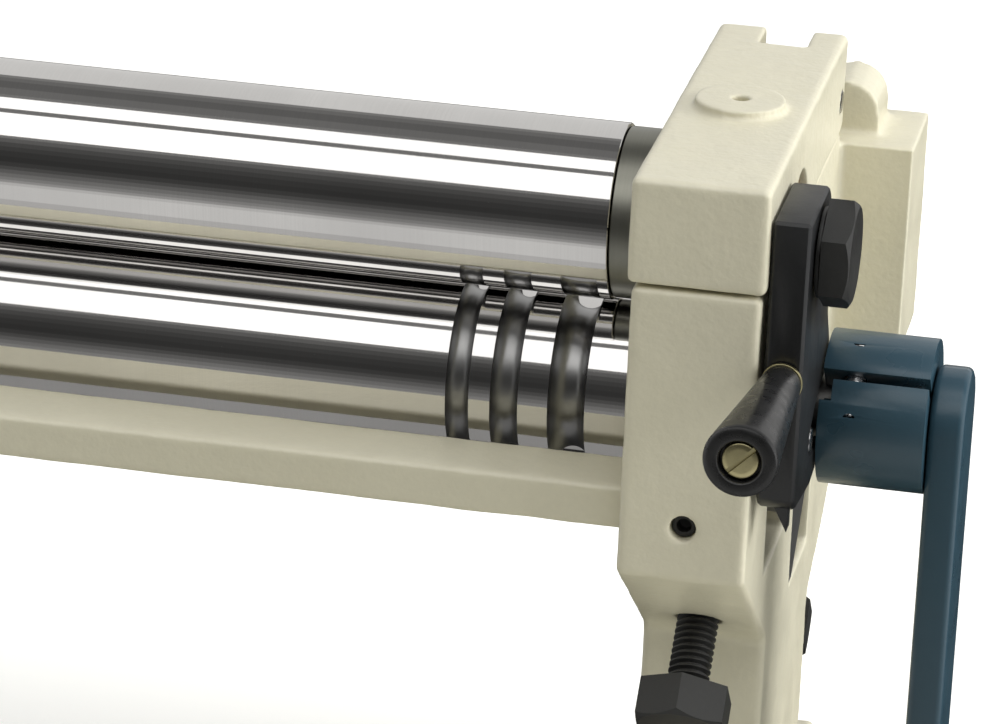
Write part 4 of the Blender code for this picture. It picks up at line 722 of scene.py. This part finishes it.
def make_lever_grip():
    """The tapered grip, its brass washer and the slotted screw in its end."""
    way = Vector((-math.sin(GRIP_YAW), -math.cos(GRIP_YAW), 0))
    joint = next(joint for joint in frame["joints"] if joint["name"] == "lever_grip_spin")
    start = Vector(joint["pos_m"])
    washer_start = start + way * (GRIP_WASHER_RADIUS * math.sin(GRIP_YAW))
    piece = ring(
        "lever_grip_washer_brass", GRIP_BORE_RADIUS, GRIP_WASHER_RADIUS, GRIP_WASHER_THICKNESS,
        washer_start, way, GRIP_WASHER_EDGE,
    )
    dress(piece, BRASS, "lever_grip_washer")
    base = washer_start + way * (GRIP_WASHER_THICKNESS + END_GAP)
    floor = GRIP_LENGTH - GRIP_COUNTERBORE_DEPTH
    section = [
        (GRIP_BORE_RADIUS, 0), (GRIP_BASE_RADIUS, 0), (GRIP_END_RADIUS, GRIP_LENGTH),
        (GRIP_COUNTERBORE_RADIUS, GRIP_LENGTH), (GRIP_COUNTERBORE_RADIUS, floor), (GRIP_BORE_RADIUS, floor),
    ]
    section = rounded_corners(section, GRIP_CORNER_ROUNDS)
    piece = lathe("lever_grip_moulded", section, base, way, ROUND_STEPS, closed=True)
    dress(piece, PLASTIC, "lever_grip")
    head_start = base + way * (floor + END_GAP)
    crown = [
        (0, 0), (GRIP_SCREW_RADIUS, 0),
        (GRIP_SCREW_RADIUS, GRIP_SCREW_HEIGHT - GRIP_SCREW_SHOULDER_DROP),
        (GRIP_SCREW_RADIUS * GRIP_SCREW_CROWN_SHARE, GRIP_SCREW_HEIGHT),
        (0, GRIP_SCREW_HEIGHT + GRIP_SCREW_CROWN_RISE),
    ]
    head = lathe("lever_grip_screw_head", rounded(crown, GRIP_SCREW_ROUND), head_start, way)
    bm = bmesh.new()
    bmesh.ops.create_cube(bm, size=1.0)
    bmesh.ops.scale(bm, vec=(SLOT_LENGTH, SLOT_WIDTH, 2 * SLOT_DEPTH), verts=bm.verts)
    bmesh.ops.rotate(bm, cent=(0, 0, 0), matrix=Matrix.Rotation(SLOT_TURN, 3, "Z"), verts=bm.verts)
    bmesh.ops.transform(bm, matrix=along(head_start + way * GRIP_SCREW_HEIGHT, way), verts=bm.verts)
    slot = add_mesh("grip_slot", bm)
    cutting = head.modifiers.new("slot", "BOOLEAN")
    cutting.object = slot
    evaluated(head)
    bpy.data.objects.remove(slot)
    dress(head, BRASS, "lever_grip_screw")
    reach = (head_start - start).length + GRIP_STUD_START + GRIP_STUD_OVERLAP
    stud = rounded([(0, 0), (GRIP_STUD_RADIUS, 0), (GRIP_STUD_RADIUS, reach), (0, reach)], TURNED_EDGE)
    piece = lathe("lever_grip_stud", stud, start - way * GRIP_STUD_START, way)
    dress(piece, BRASS, "lever_grip_screw")


def rounded_corners(points, radii):
    """A closed line of points, each corner rounded by its own radius."""
    made = []
    line = [Vector(point) for point in points]
    for index, here in enumerate(line):
        radius = radii[index]
        if radius == 0:
            made.append(here)
            continue
        before, after = line[index - 1], line[(index + 1) % len(line)]
        back, ahead = before - here, after - here
        first = here + back.normalized() * min(radius, back.length * GRIP_CORNER_REACH_SHARE)
        last = here + ahead.normalized() * min(radius, ahead.length * GRIP_CORNER_REACH_SHARE)
        for step in range(GRIP_CORNER_STEPS + 1):
            share = step / GRIP_CORNER_STEPS
            made.append(first.lerp(here, share).lerp(here.lerp(last, share), share))
    return made


def make_crank():
    """The split hub, the arm, and the turning grip on its bolt."""
    edged("crank_arm", BLUE, CRANK_ARM_EDGE, 3)
    edged("crank_hub", BLUE, CRANK_FITTING_EDGE)
    low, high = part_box("hub_clamp_screw")
    grip_low, grip_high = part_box("crank_grip")
    y, z = (grip_low.y + grip_high.y) / 2, (grip_low.z + grip_high.z) / 2
    length = grip_high.x - grip_low.x
    swell = (grip_high.z - grip_low.z) / 2 - CRANK_GRIP_WAIST
    edge = CRANK_GRIP_WAIST - CRANK_GRIP_EDGE
    side = [
        (
            CRANK_GRIP_WAIST + swell * math.sin(math.pi * step / CRANK_GRIP_STEPS),
            CRANK_GRIP_LIP + (length - 2 * CRANK_GRIP_LIP) * step / CRANK_GRIP_STEPS,
        )
        for step in range(CRANK_GRIP_STEPS + 1)
    ]
    section = [(CRANK_GRIP_BORE, 0), (edge, 0)] + side + [(edge, length), (CRANK_GRIP_BORE, length)]
    piece = lathe("crank_grip_moulded", section, (grip_low.x, y, z), (1, 0, 0), ROUND_STEPS, closed=True)
    dress(piece, PLASTIC, "crank_grip")
    edged("crank_grip_bolt", ZINC, CRANK_FITTING_EDGE)
    way = Vector((0, math.cos(CLAMP_SCREW_TURN), math.sin(CLAMP_SCREW_TURN)))
    middle = (low + high) / 2
    rod = threaded_rod(
        "hub_clamp_screw_thread", middle - way * CLAMP_SCREW_LENGTH / 2, way, CLAMP_SCREW_LENGTH,
        CLAMP_SCREW_RADIUS, CLAMP_SCREW_PITCH, CLAMP_THREAD_DEPTH, CLAMP_THREAD_STEPS,
    )
    dress(rod, ZINC, "hub_clamp_screw")


# Stage


def emission(name, colour, strength):
    """A plain glowing material for the studio."""
    made = bpy.data.materials.new(name)
    made.use_nodes = True
    tree = made.node_tree
    tree.nodes.clear()
    output = tree.nodes.new("ShaderNodeOutputMaterial")
    glow = tree.nodes.new("ShaderNodeEmission")
    glow.inputs["Color"].default_value = (*colour, 1)
    glow.inputs["Strength"].default_value = strength
    tree.links.new(glow.outputs[0], output.inputs[0])
    return made


def plain_rays(tree):
    """One where a camera, glossy or transmitted ray looks, else zero."""
    path = tree.nodes.new("ShaderNodeLightPath")
    total = None
    for name in ("Is Camera Ray", "Is Glossy Ray", "Is Transmission Ray"):
        if total is None:
            total = path.outputs[name]
            continue
        both = tree.nodes.new("ShaderNodeMath")
        both.operation = "MAXIMUM"
        tree.links.new(total, both.inputs[0])
        tree.links.new(path.outputs[name], both.inputs[1])
        total = both.outputs[0]
    return total


def card(name, first, last, strength):
    """A studio card along the rolls, between two elevations, that only reflections see."""
    bm = bmesh.new()
    steps = max(1, round((last - first) / CARD_STEP_DEGREES))
    rows = []
    for step in range(steps + 1):
        turn = math.radians(first + (last - first) * step / steps)
        y, z = -CARD_DISTANCE * math.cos(turn), UPPER_Z + CARD_DISTANCE * math.sin(turn)
        rows.append([bm.verts.new((x, y, z)) for x in (-CARD_REACH, CARD_REACH)])
    for low, high in zip(rows, rows[1:]):
        bm.faces.new((low[0], low[1], high[1], high[0]))
    made = add_mesh(name, bm)
    made.data.materials.append(emission(name, CARD_COLOUR, strength))
    made.visible_camera = False
    made.visible_diffuse = False
    made.visible_shadow = False
    made.visible_transmission = False
    made.visible_volume_scatter = False


def make_stage():
    """The pale floor and the reflection cards."""
    bm = bmesh.new()
    bmesh.ops.create_grid(bm, x_segments=1, y_segments=1, size=FLOOR_REACH)
    floor = add_mesh("floor", bm)
    made, tree, shader = new_material("floor_white")
    shader.inputs["Base Color"].default_value = (*FLOOR_COLOUR, 1)
    shader.inputs["Roughness"].default_value = 0.9
    shader.inputs["Specular IOR Level"].default_value = 0.1
    shader.inputs["Emission Color"].default_value = (1, 1, 1, 1)
    shown = plain_rays(tree)
    half = tree.nodes.new("ShaderNodeMath")
    half.operation = "MULTIPLY"
    half.inputs[1].default_value = FLOOR_GLOW
    tree.links.new(shown, half.inputs[0])
    tree.links.new(half.outputs[0], shader.inputs["Emission Strength"])
    floor.data.materials.append(made)
    floor.visible_glossy = False
    for number, ((first, strength), (last, _)) in enumerate(zip(CARD_EDGES, CARD_EDGES[1:])):
        card(f"card_{number}", first, last, strength)


def area_light(name, place, target, size, power):
    """A soft rectangular lamp that aims at a place and that reflections don't see."""
    lamp = bpy.data.lights.new(name, "AREA")
    lamp.shape = "RECTANGLE"
    lamp.size, lamp.size_y = size
    lamp.energy = power
    lamp.color = LAMP_TINT
    made = bpy.data.objects.new(name, lamp)
    bpy.context.scene.collection.objects.link(made)
    made.location = place
    made.rotation_euler = (Vector(target) - Vector(place)).to_track_quat("-Z", "Y").to_euler()
    made.visible_glossy = False


def make_lights():
    """A broad lamp overhead, one from the right, and a weak surround."""
    for lamp in LAMPS:
        area_light(*lamp)
    world = bpy.data.worlds.new("studio")
    bpy.context.scene.world = world
    world.use_nodes = True
    tree = world.node_tree
    back = tree.nodes["Background"]
    back.inputs["Color"].default_value = (1, 1, 1, 1)
    strength = tree.nodes.new("ShaderNodeMapRange")
    strength.inputs["To Min"].default_value = WORLD_FILL
    strength.inputs["To Max"].default_value = 1.0
    tree.links.new(plain_rays(tree), strength.inputs["Value"])
    tree.links.new(strength.outputs["Result"], back.inputs["Strength"])


def make_camera():
    """The photograph's camera: in front of the right end, a little above and to the right."""
    turn, climb, roll = CAMERA_TURN, CAMERA_CLIMB, CAMERA_ROLL
    back = Vector((math.sin(turn) * math.cos(climb), -math.cos(turn) * math.cos(climb), math.sin(climb)))
    right = (-back).cross(Vector((0, 0, 1))).normalized()
    up = right.cross(-back)
    across = math.cos(roll) * right + math.sin(roll) * up
    upward = -math.sin(roll) * right + math.cos(roll) * up
    lens = bpy.data.cameras.new("camera")
    lens.sensor_width = SENSOR_WIDTH
    lens.lens = SENSOR_WIDTH * FOCAL_PIXELS / PICTURE_WIDTH
    made = bpy.data.objects.new("camera", lens)
    bpy.context.scene.collection.objects.link(made)
    placed = Matrix((across, upward, back)).transposed().to_4x4()
    made.matrix_world = Matrix.Translation(CAMERA_PLACE) @ placed
    bpy.context.scene.camera = made


make_camera()
make_upper_roll()
make_lower_roll()
make_rear_roll()
for name, cell, rounds, rough in CASTINGS:
    casting(name, CREAM, cell, rounds, rough)
make_adjusting_screws()
make_pivot_bolt()
edged("release_lever", BLACK, LEVER_EDGE)
make_lever_grip()
make_crank()
edged("gear_cover", SMOOTH_CREAM, COVER_EDGE, 3)
for name in ("cap_hinge_pin", "latch_pin", "upper_gear_key", "lower_gear_key"):
    edged(name, PLAIN_STEEL, PIN_EDGE)
for name in ("front_swivel_pin", "rear_swivel_pin"):
    edged(name, BLACK_FASTENER, PIN_EDGE)
for name in ("right_grub_screw", "left_grub_screw"):
    make_grub_screw(name)
for name in ("cover_screw_1", "cover_screw_2", "cover_screw_3"):
    edged(name, BLACK_FASTENER, COVER_SCREW_EDGE)
for name in ("upper_retaining_ring", "lower_retaining_ring"):
    edged(name, BLACK_FASTENER, RETAINING_RING_EDGE)
for name in BODY_OF:
    if name.endswith("_bush"):
        edged(name, BRONZE, BUSH_EDGE)
    if name.endswith("_block"):
        edged(name, IRON, BLOCK_EDGE, 3)
    if name.endswith("_gear"):
        edged(name, IRON, GEAR_EDGE)
make_stage()
make_lights()

view = bpy.context.scene.view_settings
view.view_transform = "Standard"
bpy.context.view_layer.update()
